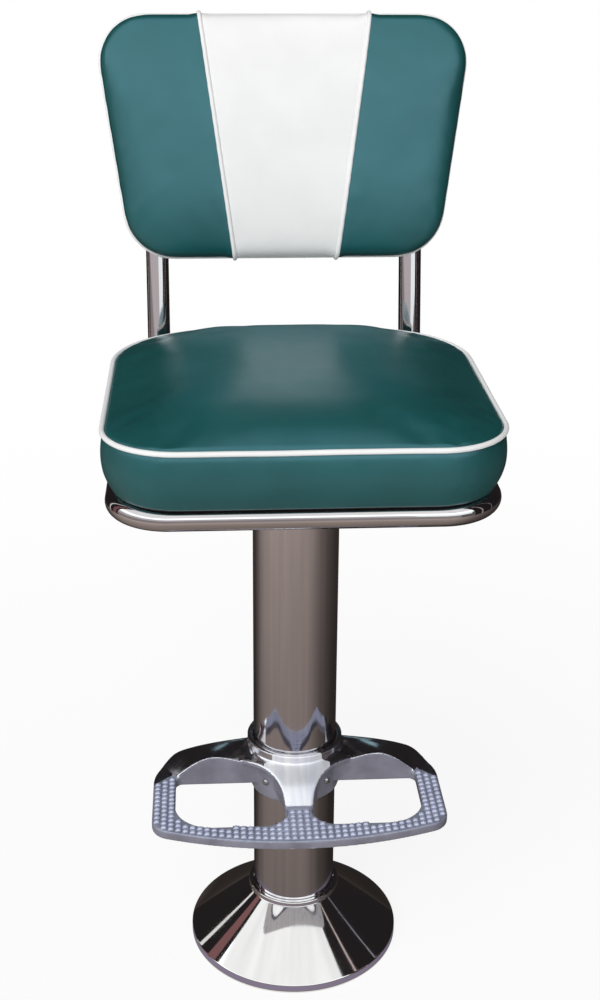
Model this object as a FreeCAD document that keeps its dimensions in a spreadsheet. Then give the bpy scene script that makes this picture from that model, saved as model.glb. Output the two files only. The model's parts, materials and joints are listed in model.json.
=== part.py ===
import FreeCAD, Part
import math
import os

import Sketcher

# Counter stool, in millimetres. The origin is on the floor at the column's axis.
# +Z is up, the sitter faces -Y, and +X is the right side seen from the front.

doc = FreeCAD.newDocument("counter_stool")
sheet = doc.addObject("Spreadsheet::Sheet", "sizes")
Vector = FreeCAD.Vector
Placement = FreeCAD.Placement
Rotation = FreeCAD.Rotation
UP = Vector(0, 0, 1)
FORWARD = Vector(0, -1, 0)
SIDEWAYS = Vector(1, 0, 0)

SIZES = [
    # running gaps and cutting overrun
    ("seat_gap", 0.1),
    ("running_gap", 0.05),
    ("soft_gap", 0.3),
    ("overrun", 5),
    # column and floor flange
    ("column_radius", 50.8),
    ("column_wall", 2),
    ("column_height", 586),
    ("flange_radius", 101.6),
    ("flange_thickness", 10),
    ("spigot_height", 22),
    ("floor_hole_offset", 82.5),
    ("floor_hole_radius", 5.6),
    ("floor_hole_count", 4),
    # spun cone cover
    ("cone_radius", 131.5),
    ("cone_lip", 10.5),
    ("cone_rise", 60.5),
    ("cone_wall", 1.2),
    ("cone_collar_width", 6.2),
    ("cone_collar_height", 5.5),
    ("cone_round", 2.2),
    # footrest casting
    ("tread_top", 250),
    ("tread_thickness", 11),
    ("tread_half_width", 174),
    ("tread_front", 169.5),
    ("tread_bow_radius", 475),
    ("tread_corner_radius", 26),
    ("tread_round", 2.5),
    ("window_outer", 147),
    ("window_front", 136.5),
    ("window_back", 33),
    ("window_outer_radius", 45),
    ("window_inner_radius", 29),
    ("window_back_radius", 9),
    ("bridge_toe", 9),
    ("bridge_root", 25),
    ("bridge_root_front", 48),
    ("bridge_rise", 34),
    ("bridge_reach", 104),
    ("bridge_width", 41),
    ("skirt_round", 3.5),
    ("hub_wall", 5.6),
    ("hub_height", 41),
    ("hub_ear_drop", 14.5),
    ("hub_ear_radius", 18),
    ("hub_bead", 2.2),
    ("arm_reach", 172),
    ("arm_rear", 19),
    ("arm_rise", 33),
    ("arm_crown", 1.5),
    ("arm_corner", 60),
    ("arm_wall", 6),
    ("screw_angle", 42),
    ("screw_height", 246),
    ("screw_radius", 3),
    ("screw_length", 14),
    ("screw_head_radius", 4.8),
    ("screw_head_height", 3),
    # swivel bearing
    ("spindle_radius", 12.7),
    ("spindle_tail", 14),
    ("housing_rim", 5),
    ("housing_spigot", 30),
    ("housing_hub_radius", 24),
    ("housing_depth", 76),
    ("bushing_wall", 3.4),
    ("bushing_length", 24),
    ("bushing_flange", 3),
    ("bushing_flange_radius", 20),
    ("race_inner", 20),
    ("race_outer", 36),
    ("race_thickness", 5),
    ("groove_depth", 1.6),
    ("ball_radius", 4.76),
    ("ball_gap", 0.15),
    ("ball_count", 12),
    ("cage_thickness", 3),
    ("cage_margin", 7),
    ("thrust_washer_thickness", 3),
    ("snap_ring_thickness", 2),
    ("snap_ring_depth", 1.7),
    ("snap_ring_reach", 3.6),
    # seat spider
    ("spider_hub_radius", 30),
    ("spider_hub_height", 28.5),
    ("spider_plate_half", 95),
    ("spider_plate_thickness", 6),
    ("spider_corner", 22),
    ("spider_bolt_x", 78),
    ("pin_radius", 3),
    # seat ring and cross rails
    ("ring_radius", 12.7),
    ("ring_wall", 1.6),
    ("ring_vent_radius", 2),
    ("ring_half_width", 198.3),
    ("ring_front", 191.8),
    ("ring_rear", 192),
    ("ring_corner", 57),
    ("rail_spacing", 150),
    ("rail_wall", 2),
    ("bolt_radius", 4),
    ("bolt_head_radius", 7.2),
    ("bolt_head_height", 5.3),
    ("bolt_bite", 10),
    # seat
    ("board_thickness", 12),
    ("board_inset", 5),
    ("seat_half_width", 211),
    ("seat_front", 215),
    ("seat_rear", 212),
    ("seat_front_corner", 78),
    ("seat_rear_corner", 128),
    ("boxing_height", 67),
    ("boxing_tuck", 8),
    ("boxing_bulge", 3.5),
    ("seat_crown", 36),
    ("piping_radius", 2.9),
    # back uprights
    ("upright_radius", 14.3),
    ("upright_wall", 1.6),
    ("upright_inset", 36.3),
    ("upright_bend", 60),
    ("upright_bend_start", 193),
    ("upright_front", 96),
    ("upright_length", 392),
    ("recline", 10.8),
    ("plug_crown", 3),
    ("plug_depth", 12),
    # back
    ("back_bottom", 142),
    ("back_height", 291),
    ("back_top_width", 469),
    ("back_bottom_width", 385),
    ("back_top_corner", 56),
    ("back_bottom_corner", 61),
    ("back_boxing", 30),
    ("back_crown", 13),
    ("back_board_thickness", 12),
    ("back_board_inset", 9),
    ("rear_panel_thickness", 3.2),
    ("seam_top", 104),
    ("seam_bottom", 64),
    ("seam_gap", 0.6),
    ("seam_piping_radius", 2.6),
    ("back_bolt_low", 60),
    ("back_bolt_high", 190),
]

for row, (alias, value) in enumerate(SIZES, start=1):
    sheet.set("A%d" % row, alias)
    sheet.set("B%d" % row, str(value))
    sheet.setAlias("B%d" % row, alias)
doc.recompute()
size = {alias: float(getattr(sheet, alias)) for alias, value in SIZES}
pieces = []


def mm(text):
    """Give the length that a sum of size names stands for, such as "cone_lip + cone_rise"."""
    total = 0
    sign = 1
    for word in text.split():
        if word == "+":
            sign = 1
        elif word == "-":
            sign = -1
        else:
            total += sign * size[word]
    return total


def bound(text):
    """Give the same sum as an expression on the sheet."""
    return " ".join("sizes." + word if word in size else word for word in text.split())


def new_body(name):
    """Start a body whose label names its file."""
    body = doc.addObject("PartDesign::Body", name)
    body.Label = name
    return body


def new_sketch(body, name, role):
    """Attach a sketch to one of the body's own origin planes."""
    sketch = body.newObject("Sketcher::SketchObject", name)
    plane = [item for item in body.Origin.OriginFeatures if item.Role == role][0]
    sketch.AttachmentSupport = [(plane, "")]
    sketch.MapMode = "FlatFace"
    return sketch


def pin_point(sketch, index, across, along):
    """Hold the start of a line at two sums of sizes from the sketch's origin."""
    for kind, text, axis in (("DistanceX", across, -2), ("DistanceY", along, -1)):
        if text == "":
            sketch.addConstraint(Sketcher.Constraint("PointOnObject", index, 1, axis))
        else:
            number = sketch.addConstraint(Sketcher.Constraint(kind, -1, 1, index, 1, mm(text)))
            sketch.setExpression("Constraints[%d]" % number, bound(text))


def draw_polygon(sketch, corners):
    """Draw a closed outline through corners given as pairs of sums of sizes."""
    points = [Vector(mm(across), mm(along), 0) for across, along in corners]
    first = sketch.GeometryCount
    count = len(points)
    for index in range(count):
        sketch.addGeometry(Part.LineSegment(points[index], points[(index + 1) % count]), False)
    for index in range(count):
        following = first + (index + 1) % count
        sketch.addConstraint(Sketcher.Constraint("Coincident", first + index, 2, following, 1))
    for index, (across, along) in enumerate(corners):
        pin_point(sketch, first + index, across, along)


def draw_circle(sketch, radius, across="", along=""):
    """Draw a circle of a sum of sizes, its centre at two sums from the origin."""
    centre = Vector(mm(across), mm(along), 0)
    index = sketch.addGeometry(Part.Circle(centre, Vector(0, 0, 1), mm(radius)), False)
    number = sketch.addConstraint(Sketcher.Constraint("Radius", index, mm(radius)))
    sketch.setExpression("Constraints[%d]" % number, bound(radius))
    for kind, text, axis in (("DistanceX", across, -2), ("DistanceY", along, -1)):
        if text == "":
            sketch.addConstraint(Sketcher.Constraint("PointOnObject", index, 3, axis))
        else:
            number = sketch.addConstraint(Sketcher.Constraint(kind, -1, 1, index, 3, mm(text)))
            sketch.setExpression("Constraints[%d]" % number, bound(text))


def turn_outline(body, corners):
    """Revolve an outline of radius and height pairs about the column's axis."""
    sketch = new_sketch(body, body.Name + "_outline", "XZ_Plane")
    draw_polygon(sketch, corners)
    turn = body.newObject("PartDesign::Revolution", body.Name + "_turn")
    turn.Profile = sketch
    turn.ReferenceAxis = (sketch, ["V_Axis"])
    turn.Angle = 360
    sketch.Visibility = False
    doc.recompute()
    return turn


def turned(name, corners):
    """Make a turned piece from one outline."""
    body = new_body(name)
    turn_outline(body, corners)
    pieces.append(body)
    return body


def round_edges(body, radius_name, circles):
    """Fillet the circular edges of the given radius and height sums."""
    base = body.Tip
    wanted = [(mm(radius), mm(height)) for radius, height in circles]
    names = []
    for index, edge in enumerate(base.Shape.Edges, start=1):
        curve = edge.Curve
        if not isinstance(curve, Part.Circle):
            continue
        for radius, height in wanted:
            miss = max(abs(curve.Radius - radius), abs(curve.Center.z - height))
            if miss < size["seat_gap"]:
                names.append("Edge%d" % index)
    fillet = body.newObject("PartDesign::Fillet", body.Name + "_round")
    fillet.Base = (base, names)
    fillet.setExpression("Radius", bound(radius_name))
    doc.recompute()


def ring_of_holes(body, name, radius, circle_radius, count_name):
    """Drill equal holes through the body on a circle about the column's axis."""
    sketch = new_sketch(body, name, "XY_Plane")
    draw_circle(sketch, radius, circle_radius)
    pocket = body.newObject("PartDesign::Pocket", name + "_cut")
    pocket.Profile = sketch
    pocket.Type = 1
    pocket.Midplane = True
    sketch.Visibility = False
    doc.recompute()
    pattern = body.newObject("PartDesign::PolarPattern", name + "_pattern")
    pattern.Originals = [pocket]
    pattern.Axis = (sketch, ["N_Axis"])
    pattern.Angle = 360
    pattern.setExpression("Occurrences", bound(count_name))
    body.Tip = pattern
    doc.recompute()


def shaped(name, shape, placement=None):
    """Keep a shape made with functions as an object of its own."""
    item = doc.addObject("Part::Feature", name)
    item.Label = name
    item.Shape = shape
    if placement is not None:
        item.Placement = placement
    pieces.append(item)
    return item


def rod(radius, length, base, direction):
    """Give a solid cylinder from its base along a direction."""
    return Part.makeCylinder(radius, length, base, direction)


def rounded_loop(corners, radii):
    """Join corners by lines, each corner rounded to its own radius by an arc."""
    count = len(corners)
    edges = []
    starts = []
    for index in range(count):
        corner = corners[index]
        back = corners[index - 1] - corner
        ahead = corners[(index + 1) % count] - corner
        radius = radii[index]
        if radius == 0:
            starts.append((corner, corner, None))
            continue
        back.normalize()
        ahead.normalize()
        half_angle = back.getAngle(ahead) / 2
        reach = radius / math.tan(half_angle)
        bisector = back + ahead
        bisector.normalize()
        middle = corner + bisector * (radius / math.sin(half_angle) - radius)
        starts.append((corner + back * reach, corner + ahead * reach, middle))
    for index in range(count):
        arc_start, arc_end, middle = starts[index]
        if middle is not None:
            edges.append(Part.Arc(arc_start, middle, arc_end).toShape())
        line_end = starts[(index + 1) % count][0]
        if arc_end.distanceToPoint(line_end) > size["seat_gap"]:
            edges.append(Part.LineSegment(arc_end, line_end).toShape())
    return Part.Wire(edges)


def prism(wire, travel):
    """Extrude the face inside a closed wire."""
    return Part.Face(wire).extrude(travel)


def union(first, others):
    """Fuse solids and merge the faces that continue each other."""
    return first.fuse(others).removeSplitter()


def mirrored(shape):
    """Give the same shape on the other side of the middle plane."""
    return shape.mirror(Vector(0, 0, 0), SIDEWAYS)


def pipe_round(path_wire, radius):
    """Sweep a round section along a smooth wire."""
    edge = path_wire.OrderedEdges[0]
    start = edge.valueAt(edge.FirstParameter)
    along = edge.tangentAt(edge.FirstParameter)
    section = Part.Wire([Part.makeCircle(radius, start, along)])
    return path_wire.makePipeShell([section], True, False)


def dome(seat, outward, radius, height):
    """Give a shallow dome of a radius and height, its flat side at the seat."""
    ball_radius = (radius ** 2 + height ** 2) / (2 * height)
    latitude = math.degrees(math.asin((ball_radius - height) / ball_radius))
    return Part.makeSphere(ball_radius, seat + outward * (height - ball_radius), outward, latitude, 90, 360)


def dome_screw(seat, outward, shank_radius, shank_length, head_radius, head_height):
    """Give a dome-headed screw seated at a point, its shank pointing inward."""
    shank = rod(shank_radius, shank_length, seat - outward * shank_length, outward)
    return dome(seat, outward, head_radius, head_height).fuse(shank).removeSplitter()


# Heights and places that several pieces share
tread_bottom = mm("tread_top - tread_thickness")
column_top = mm("flange_thickness + column_height")
race_seat = "flange_thickness + column_height + housing_rim"
lower_race_top = race_seat + " + race_thickness"
ball_height = mm(lower_race_top) + mm("ball_radius + ball_gap - groove_depth")
groove_radius = mm("ball_radius + ball_gap")
upper_race_bottom = ball_height + groove_radius - size["groove_depth"]

# Floor flange, with a spigot that the column stands over
floor_flange = turned("floor_flange", [
    ("", ""),
    ("flange_radius", ""),
    ("flange_radius", "flange_thickness"),
    ("column_radius - column_wall - seat_gap", "flange_thickness"),
    ("column_radius - column_wall - seat_gap", "flange_thickness + spigot_height"),
    ("", "flange_thickness + spigot_height"),
])
ring_of_holes(floor_flange, "floor_holes", "floor_hole_radius", "floor_hole_offset", "floor_hole_count")

# Spun cone cover, open below and rolled to a collar round the column
collar_radius = "column_radius + cone_collar_width"
collar_low = "cone_lip + cone_rise"
collar_high = collar_low + " + cone_collar_height"
cone_cover = turned("cone_cover", [
    ("cone_radius - cone_wall", ""),
    ("cone_radius", ""),
    ("cone_radius", "cone_lip"),
    (collar_radius, collar_low),
    (collar_radius, collar_high),
    ("column_radius + soft_gap", collar_high),
    ("column_radius + soft_gap", collar_high + " - cone_wall"),
    (collar_radius + " - cone_wall", collar_high + " - cone_wall"),
    (collar_radius + " - cone_wall", collar_low + " - cone_wall"),
    ("cone_radius - cone_wall", "cone_lip - cone_wall"),
])
round_edges(cone_cover, "cone_round", [(collar_radius, collar_high)])

# Footrest casting: a flat tread round two foot openings, carried by a sleeve, a bridge and two arms
def tread_plate():
    """Give the tread with its bowed front, rounded corners and eased top edges."""
    width = size["tread_half_width"]
    front = -mm("tread_front + overrun")
    rear = size["arm_rear"]
    corners = [Vector(-width, front, tread_bottom), Vector(width, front, tread_bottom),
               Vector(width, rear, tread_bottom), Vector(-width, rear, tread_bottom)]
    radii = [0, 0, size["arm_corner"], size["arm_corner"]]
    block = prism(rounded_loop(corners, radii), UP * size["tread_thickness"])
    bow_centre = Vector(0, mm("tread_bow_radius - tread_front"), tread_bottom)
    plate = block.common(rod(size["tread_bow_radius"], size["tread_thickness"], bow_centre, UP))
    front_corners = [edge for edge in plate.Edges if is_front_corner(edge)]
    plate = plate.makeFillet(size["tread_corner_radius"], front_corners)
    rims = [edge for edge in plate.Edges if edge.BoundBox.ZMin > size["tread_top"] - size["seat_gap"]]
    return plate.makeFillet(size["tread_round"], rims)


def arm_outline(inset):
    """Give an upright block inside the tread's rounded rear corners, to trim the arms."""
    width = size["tread_half_width"] - inset
    front = -size["tread_front"]
    rear = size["arm_rear"] - inset
    low = tread_bottom - inset
    corners = [Vector(-width, front, low), Vector(width, front, low),
               Vector(width, rear, low), Vector(-width, rear, low)]
    corner = size["arm_corner"] - inset
    loop = rounded_loop(corners, [0, 0, corner, corner])
    return prism(loop, UP * mm("tread_thickness + arm_rise + overrun"))


def is_front_corner(edge):
    """Say whether an edge is one of the two upright ones at the tread's front corners."""
    box = edge.BoundBox
    upright = box.ZLength > size["tread_thickness"] - size["seat_gap"] and box.XLength < size["seat_gap"]
    return upright and box.YMax < -size["window_back"]


def foot_window():
    """Give the cutter of the opening on the right, from the outer back corner round."""
    low = tread_bottom - size["overrun"]
    outer = size["window_outer"]
    back = -size["window_back"]
    front = -size["window_front"]
    root = size["bridge_root"]
    corners = [Vector(outer, back, low), Vector(root, back, low),
               Vector(root, -size["bridge_root_front"], low),
               Vector(size["bridge_toe"], front, low), Vector(outer, front, low)]
    radii = [size["window_back_radius"], 0, 0, size["window_inner_radius"], size["window_outer_radius"]]
    return prism(rounded_loop(corners, radii), UP * mm("tread_thickness + overrun + overrun"))


# Arm sections from the sleeve outwards: reach, crest and front rim as shares of the arm's reach and rise
ARM_SHARES = [(0.26, 1.0, 0.6), (0.51, 0.8, 0.79), (0.71, 0.57, 0.6), (0.84, 0.33, 0.08),
              (1.01, -0.12, -0.08)]
CREST_SHARE = 0.05
SHOULDER_SHARE = 0.5


def arm_section(shares, inset):
    """Give one upright section of an arm, its walls drawn in by an inset."""
    reach_share, crest_share, rim_share = shares
    reach = size["arm_reach"] * reach_share
    front = -size["window_back"] + inset
    rear = size["arm_rear"] - inset
    low = tread_bottom if inset == 0 else tread_bottom - size["overrun"]
    crest = Vector(reach, rear * CREST_SHARE, size["tread_top"] + size["arm_rise"] * crest_share - inset)
    rim = Vector(reach, front, size["tread_top"] + size["arm_rise"] * rim_share - inset)
    shoulder = Vector(reach, rear, tread_bottom + (crest.z - tread_bottom) * SHOULDER_SHARE)
    top_middle = (rim + crest) / 2 + UP * size["arm_crown"]
    back_middle = Vector(reach, crest.y + (rear - crest.y) * math.sin(math.pi / 4),
                         shoulder.z + (crest.z - shoulder.z) * math.sin(math.pi / 4))
    edges = [Part.LineSegment(Vector(reach, front, low), rim),
             Part.Arc(rim, top_middle, crest),
             Part.Arc(crest, back_middle, shoulder),
             Part.LineSegment(shoulder, Vector(reach, rear, low)),
             Part.LineSegment(Vector(reach, rear, low), Vector(reach, front, low))]
    return Part.Wire([edge.toShape() for edge in edges])


# Bridge sections from the sleeve forwards: place along the bridge, half width and crest
BRIDGE_SHARES = [(0.0, 0.68, 0.9), (0.3, 0.6, 0.7), (0.65, 0.46, 0.3), (1.0, 0.38, -0.06)]
BRIDGE_SIDE_SHARE = 0.6

# Skirt over the bridge: its fall from the sleeve to the bridge's toe, in shares of reach and rise
SKIRT_FALL = [(-0.1, 1.02), (0.0, 0.96), (0.15, 0.82), (0.3, 0.7), (0.5, 0.54), (0.7, 0.33), (0.9, 0.1),
              (1.1, -0.12)]
# Its rim on the right, from the arm round to the toe, in shares of the bridge's reach across and forwards
SKIRT_RIM = [(0.66, 0.29), (0.6, 0.355), (0.49, 0.445), (0.375, 0.55), (0.29, 0.645), (0.23, 0.74),
             (0.187, 0.85), (0.17, 0.95), (0.175, 1.03)]
# Where its outline closes inside the sleeve, in shares of the sleeve's radius across and forwards
SKIRT_INNER = (0.6, 0.5)
# What tells the rim's long upper edges: their least run and height, in shares of the reach and rise
SKIRT_RIM_LEAST = (0.5, 0.6)


def bridge_section(shares):
    """Give one upright section of the bridge, with a rounded top."""
    along_share, width_share, crest_share = shares
    start = size["column_radius"] - size["hub_wall"]
    along = -(start + (size["bridge_reach"] - start) * along_share)
    half = size["bridge_width"] * width_share
    rise = size["bridge_rise"] * crest_share
    crest = size["tread_top"] + rise
    side = tread_bottom + (crest - tread_bottom) * BRIDGE_SIDE_SHARE
    left, right = Vector(-half, along, tread_bottom), Vector(half, along, tread_bottom)
    left_side, right_side = Vector(-half, along, side), Vector(half, along, side)
    edges = [Part.LineSegment(left, right), Part.LineSegment(right, right_side),
             Part.Arc(right_side, Vector(0, along, crest), left_side), Part.LineSegment(left_side, left)]
    return Part.Wire([edge.toShape() for edge in edges])


def bridge_skirt():
    """Give the flared skin that joins the sleeve, the arms and the bridge, with its rounded rim."""
    start = mm("column_radius + hub_wall")
    span = size["bridge_reach"] - start
    fall = [Vector(start + span * reach, 0, size["tread_top"] + size["bridge_rise"] * rise)
            for reach, rise in SKIRT_FALL]
    drop = UP * -size["arm_wall"]
    upper = Part.BSplineCurve()
    upper.interpolate(fall)
    lower = Part.BSplineCurve()
    lower.interpolate([point + drop for point in fall])
    sides = [Part.makeLine(fall[-1], fall[-1] + drop), Part.makeLine(fall[0] + drop, fall[0])]
    profile = Part.Face(Part.Wire([upper.toShape(), sides[0], lower.toShape(), sides[1]]))
    flare = profile.revolve(Vector(0, 0, 0), UP, 360)
    low = tread_bottom - size["overrun"]
    rim = [Vector(across, -forward, 0) * size["bridge_reach"] + UP * low for across, forward in SKIRT_RIM]
    other = [Vector(-point.x, point.y, low) for point in reversed(rim)]
    right = Part.BSplineCurve()
    right.interpolate(rim)
    left = Part.BSplineCurve()
    left.interpolate(other)
    inner = Vector(start * SKIRT_INNER[0], -start * SKIRT_INNER[1], low)
    inner_left = Vector(-inner.x, inner.y, low)
    edges = [right.toShape(), Part.makeLine(rim[-1], other[0]), left.toShape(),
             Part.makeLine(other[-1], inner_left), Part.makeLine(inner_left, inner),
             Part.makeLine(inner, rim[0])]
    room = prism(Part.Wire(edges), UP * mm("tread_thickness + bridge_rise + overrun + overrun"))
    skin = flare.common(room)
    rims = [edge for edge in skin.Edges if is_skirt_rim(edge)]
    return skin.makeFillet(size["skirt_round"], rims)


def is_skirt_rim(edge):
    """Say whether an edge is one of the two long upper ones of the skirt's rim."""
    box = edge.BoundBox
    run, rise = SKIRT_RIM_LEAST
    long = box.YLength > size["bridge_reach"] * run and box.XLength > size["bridge_width"]
    return long and box.ZMax > size["tread_top"] + size["bridge_rise"] * rise


def sleeve():
    """Give the sleeve round the column, with its beads and its rounded front skirt."""
    outer = mm("column_radius + hub_wall")
    height = mm("hub_height + tread_thickness")
    tube = rod(outer, height, Vector(0, 0, tread_bottom), UP)
    top = tread_bottom + height
    beads = [Part.makeTorus(outer, size["hub_bead"], Vector(0, 0, top - size["hub_bead"] * place))
             for place in (1, 3)]
    half = outer + size["overrun"]
    low = tread_bottom - size["hub_ear_drop"]
    corners = [Vector(-half, 0, low), Vector(half, 0, low),
               Vector(half, 0, tread_bottom), Vector(-half, 0, tread_bottom)]
    radius = size["hub_ear_radius"]
    ears = prism(rounded_loop(corners, [radius, radius, 0, 0]), FORWARD * half)
    ears = ears.common(rod(outer, size["hub_ear_drop"], Vector(0, 0, low), UP))
    return union(tube, beads + [ears])


def footrest_shape():
    """Fuse the casting's forms, hollow its arms and bore it for the column and its screws."""
    window = foot_window()
    plate = tread_plate().cut([window, mirrored(window)])
    arm = Part.makeLoft([arm_section(shares, 0) for shares in ARM_SHARES], True, False)
    arm = arm.common(arm_outline(0))
    hollow = Part.makeLoft([arm_section(shares, size["arm_wall"]) for shares in ARM_SHARES], True, False)
    hollow = hollow.common(arm_outline(size["arm_wall"]))
    bridge = Part.makeLoft([bridge_section(shares) for shares in BRIDGE_SHARES], True, False)
    casting = union(plate, [arm, mirrored(arm), bridge, bridge_skirt(), sleeve()])
    below = UP * (tread_bottom - mm("hub_ear_drop + overrun"))
    depth = mm("overrun + hub_ear_drop + tread_thickness + hub_height + overrun")
    bore = rod(mm("column_radius + seat_gap"), depth, below, UP)
    keep_out = rod(mm("column_radius + hub_wall"), depth, below, UP)
    hollow = hollow.cut(keep_out)
    head_rooms = [screw_head_room(side) for side in (-1, 1)]
    return casting.cut([hollow, mirrored(hollow), bore] + screw_holes + head_rooms)


def screw_frame(side):
    """Give the outward direction of a sleeve screw and its seat on the sleeve."""
    angle = math.radians(size["screw_angle"]) * side
    outward = Vector(math.sin(angle), -math.cos(angle), 0)
    seat = outward * mm("column_radius + hub_wall") + UP * size["screw_height"]
    return outward, seat


def screw_shank(side, gap=0):
    """Give the shank of a sleeve screw, or its hole with a gap all round."""
    outward, seat = screw_frame(side)
    inner = seat - outward * size["screw_length"]
    return rod(size["screw_radius"] + gap, size["screw_length"], inner, outward)


def screw_head_room(side):
    """Give the room of a sleeve screw's head, spot-faced in the casting."""
    outward, seat = screw_frame(side)
    return rod(mm("screw_head_radius + soft_gap"), mm("screw_head_height + overrun"), seat, outward)


def sleeve_screw(side):
    """Give a dome-headed screw seated on the sleeve."""
    outward, seat = screw_frame(side)
    return dome_screw(seat, outward, size["screw_radius"], size["screw_length"],
                      size["screw_head_radius"], size["screw_head_height"])


screw_holes = [screw_shank(side, size["seat_gap"]) for side in (-1, 1)]
shaped("footrest_casting", footrest_shape())
shaped("footrest_screws", Part.makeCompound([sleeve_screw(side) for side in (-1, 1)]))

# Column tube, drilled for the two sleeve screws
column_pipe = new_body("column_pipe")
turn_outline(column_pipe, [
    ("column_radius - column_wall", "flange_thickness"),
    ("column_radius", "flange_thickness"),
    ("column_radius", "flange_thickness + column_height"),
    ("column_radius - column_wall", "flange_thickness + column_height"),
])
shaped("column_tube", column_pipe.Shape.cut(screw_holes))

# Swivel housing, standing on the column's rim with its spigot and hub inside
housing_low = "flange_thickness + column_height - housing_depth"
turned("swivel_housing", [
    ("spindle_radius + running_gap + bushing_wall", housing_low),
    ("housing_hub_radius", housing_low),
    ("housing_hub_radius", "flange_thickness + column_height - housing_spigot"),
    ("column_radius - column_wall - seat_gap", "flange_thickness + column_height - housing_spigot"),
    ("column_radius - column_wall - seat_gap", "flange_thickness + column_height"),
    ("column_radius", "flange_thickness + column_height"),
    ("column_radius", race_seat),
    ("spindle_radius + running_gap + bushing_wall", race_seat),
])

# Flanged bushing low in the housing and a plain one at its top
turned("lower_bushing", [
    ("spindle_radius + running_gap", housing_low + " - bushing_flange"),
    ("bushing_flange_radius", housing_low + " - bushing_flange"),
    ("bushing_flange_radius", housing_low),
    ("spindle_radius + running_gap + bushing_wall", housing_low),
    ("spindle_radius + running_gap + bushing_wall", housing_low + " + bushing_length"),
    ("spindle_radius + running_gap", housing_low + " + bushing_length"),
])
turned("upper_bushing", [
    ("spindle_radius + running_gap", race_seat + " - bushing_length"),
    ("spindle_radius + running_gap + bushing_wall", race_seat + " - bushing_length"),
    ("spindle_radius + running_gap + bushing_wall", race_seat),
    ("spindle_radius + running_gap", race_seat),
])

# Thrust bearing: two grooved races with a ring of caged balls between them
ball_circle = mm("race_inner + race_outer") / 2
groove = Part.makeTorus(ball_circle, groove_radius, UP * ball_height)


def race(low):
    """Give a bearing race with its ball groove cut out."""
    outer = rod(size["race_outer"], size["race_thickness"], UP * low, UP)
    return outer.cut([rod(size["race_inner"], size["race_thickness"], UP * low, UP), groove])


ball_places = []
for index in range(int(size["ball_count"])):
    angle = 2 * math.pi * index / size["ball_count"]
    ball_places.append(Vector(ball_circle * math.cos(angle), ball_circle * math.sin(angle), ball_height))
balls = [Part.makeSphere(size["ball_radius"], place) for place in ball_places]
shaped("lower_race", race(mm(race_seat)))
shaped("upper_race", race(upper_race_bottom))
shaped("bearing_balls", Part.makeCompound(balls))
cage_low = UP * (ball_height - size["cage_thickness"] / 2)
cage = rod(ball_circle + size["cage_margin"], size["cage_thickness"], cage_low, UP)
cage = cage.cut(rod(ball_circle - size["cage_margin"], size["cage_thickness"], cage_low, UP))
shaped("ball_cage", cage.cut([Part.makeSphere(groove_radius, place) for place in ball_places]))

# Seat spider: a hub on the upper race, opening into a square plate under the cross rails
spider_low = upper_race_bottom + size["race_thickness"]
plate_low = spider_low + size["spider_hub_height"]
rail_low = plate_low + size["spider_plate_thickness"]
ring_height = rail_low + size["ring_radius"]
rail_high = ring_height + size["ring_radius"]
board_low = rail_high + size["seat_gap"]
upright_place = mm("ring_half_width - upright_inset")


def rounded_rectangle(half_width, front, rear, front_corner, rear_corner, height):
    """Give a level loop round the column's axis, front and rear counted from it."""
    corners = [Vector(-half_width, -front, height), Vector(half_width, -front, height),
               Vector(half_width, rear, height), Vector(-half_width, rear, height)]
    return rounded_loop(corners, [front_corner, front_corner, rear_corner, rear_corner])


def spider_bolt_places():
    """Give the four bolt centres of the spider plate."""
    half_spacing = size["rail_spacing"] / 2
    return [Vector(x, y, 0) for x in (-size["spider_bolt_x"], size["spider_bolt_x"])
            for y in (-half_spacing, half_spacing)]


def upright_bolt_places():
    """Give the four bolt centres of the uprights' lower runs."""
    half_spacing = size["rail_spacing"] / 2
    return [Vector(x, y, 0) for x in (-upright_place, upright_place) for y in (-half_spacing, half_spacing)]


def bolt(place, head_top, tip):
    """Give a hexagon-headed bolt pointing up, its head seated at a height."""
    head = Part.makePolygon([place + UP * (head_top - size["bolt_head_height"])
                             + Rotation(UP, 60 * side) * Vector(size["bolt_head_radius"], 0, 0)
                             for side in range(7)])
    head = prism(head, UP * size["bolt_head_height"])
    shank = rod(size["bolt_radius"], tip - head_top, place + UP * head_top, UP)
    return head.fuse(shank).removeSplitter()


def bolt_holes(places, low, high):
    """Give the clearance cutters of bolts between two heights."""
    return [rod(mm("bolt_radius + seat_gap"), high - low, place + UP * low, UP) for place in places]


def hub_pin(gap):
    """Give the cross pin through the spider hub and spindle, or its hole."""
    middle = spider_low + size["spider_hub_height"] / 2
    half = size["spider_hub_radius"]
    return rod(size["pin_radius"] + gap, 2 * half, Vector(-half, 0, middle), SIDEWAYS)


hub = rod(size["spider_hub_radius"], size["spider_hub_height"], UP * spider_low, UP)
web = Part.makeCone(size["spider_hub_radius"], size["spider_plate_half"] - size["spider_corner"],
                    size["spider_hub_height"] / 2, UP * (spider_low + size["spider_hub_height"] / 2), UP)
half_plate = size["spider_plate_half"]
plate = prism(rounded_rectangle(half_plate, half_plate, half_plate, size["spider_corner"],
                                size["spider_corner"], plate_low), UP * size["spider_plate_thickness"])
spider = union(plate, [hub, web])
spider_bore = rod(mm("spindle_radius + running_gap"), rail_low - spider_low, UP * spider_low, UP)
shaped("seat_spider", spider.cut([spider_bore, hub_pin(size["running_gap"])]
                                 + bolt_holes(spider_bolt_places(), plate_low, rail_low)))
shaped("spider_pin", hub_pin(0))

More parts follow.
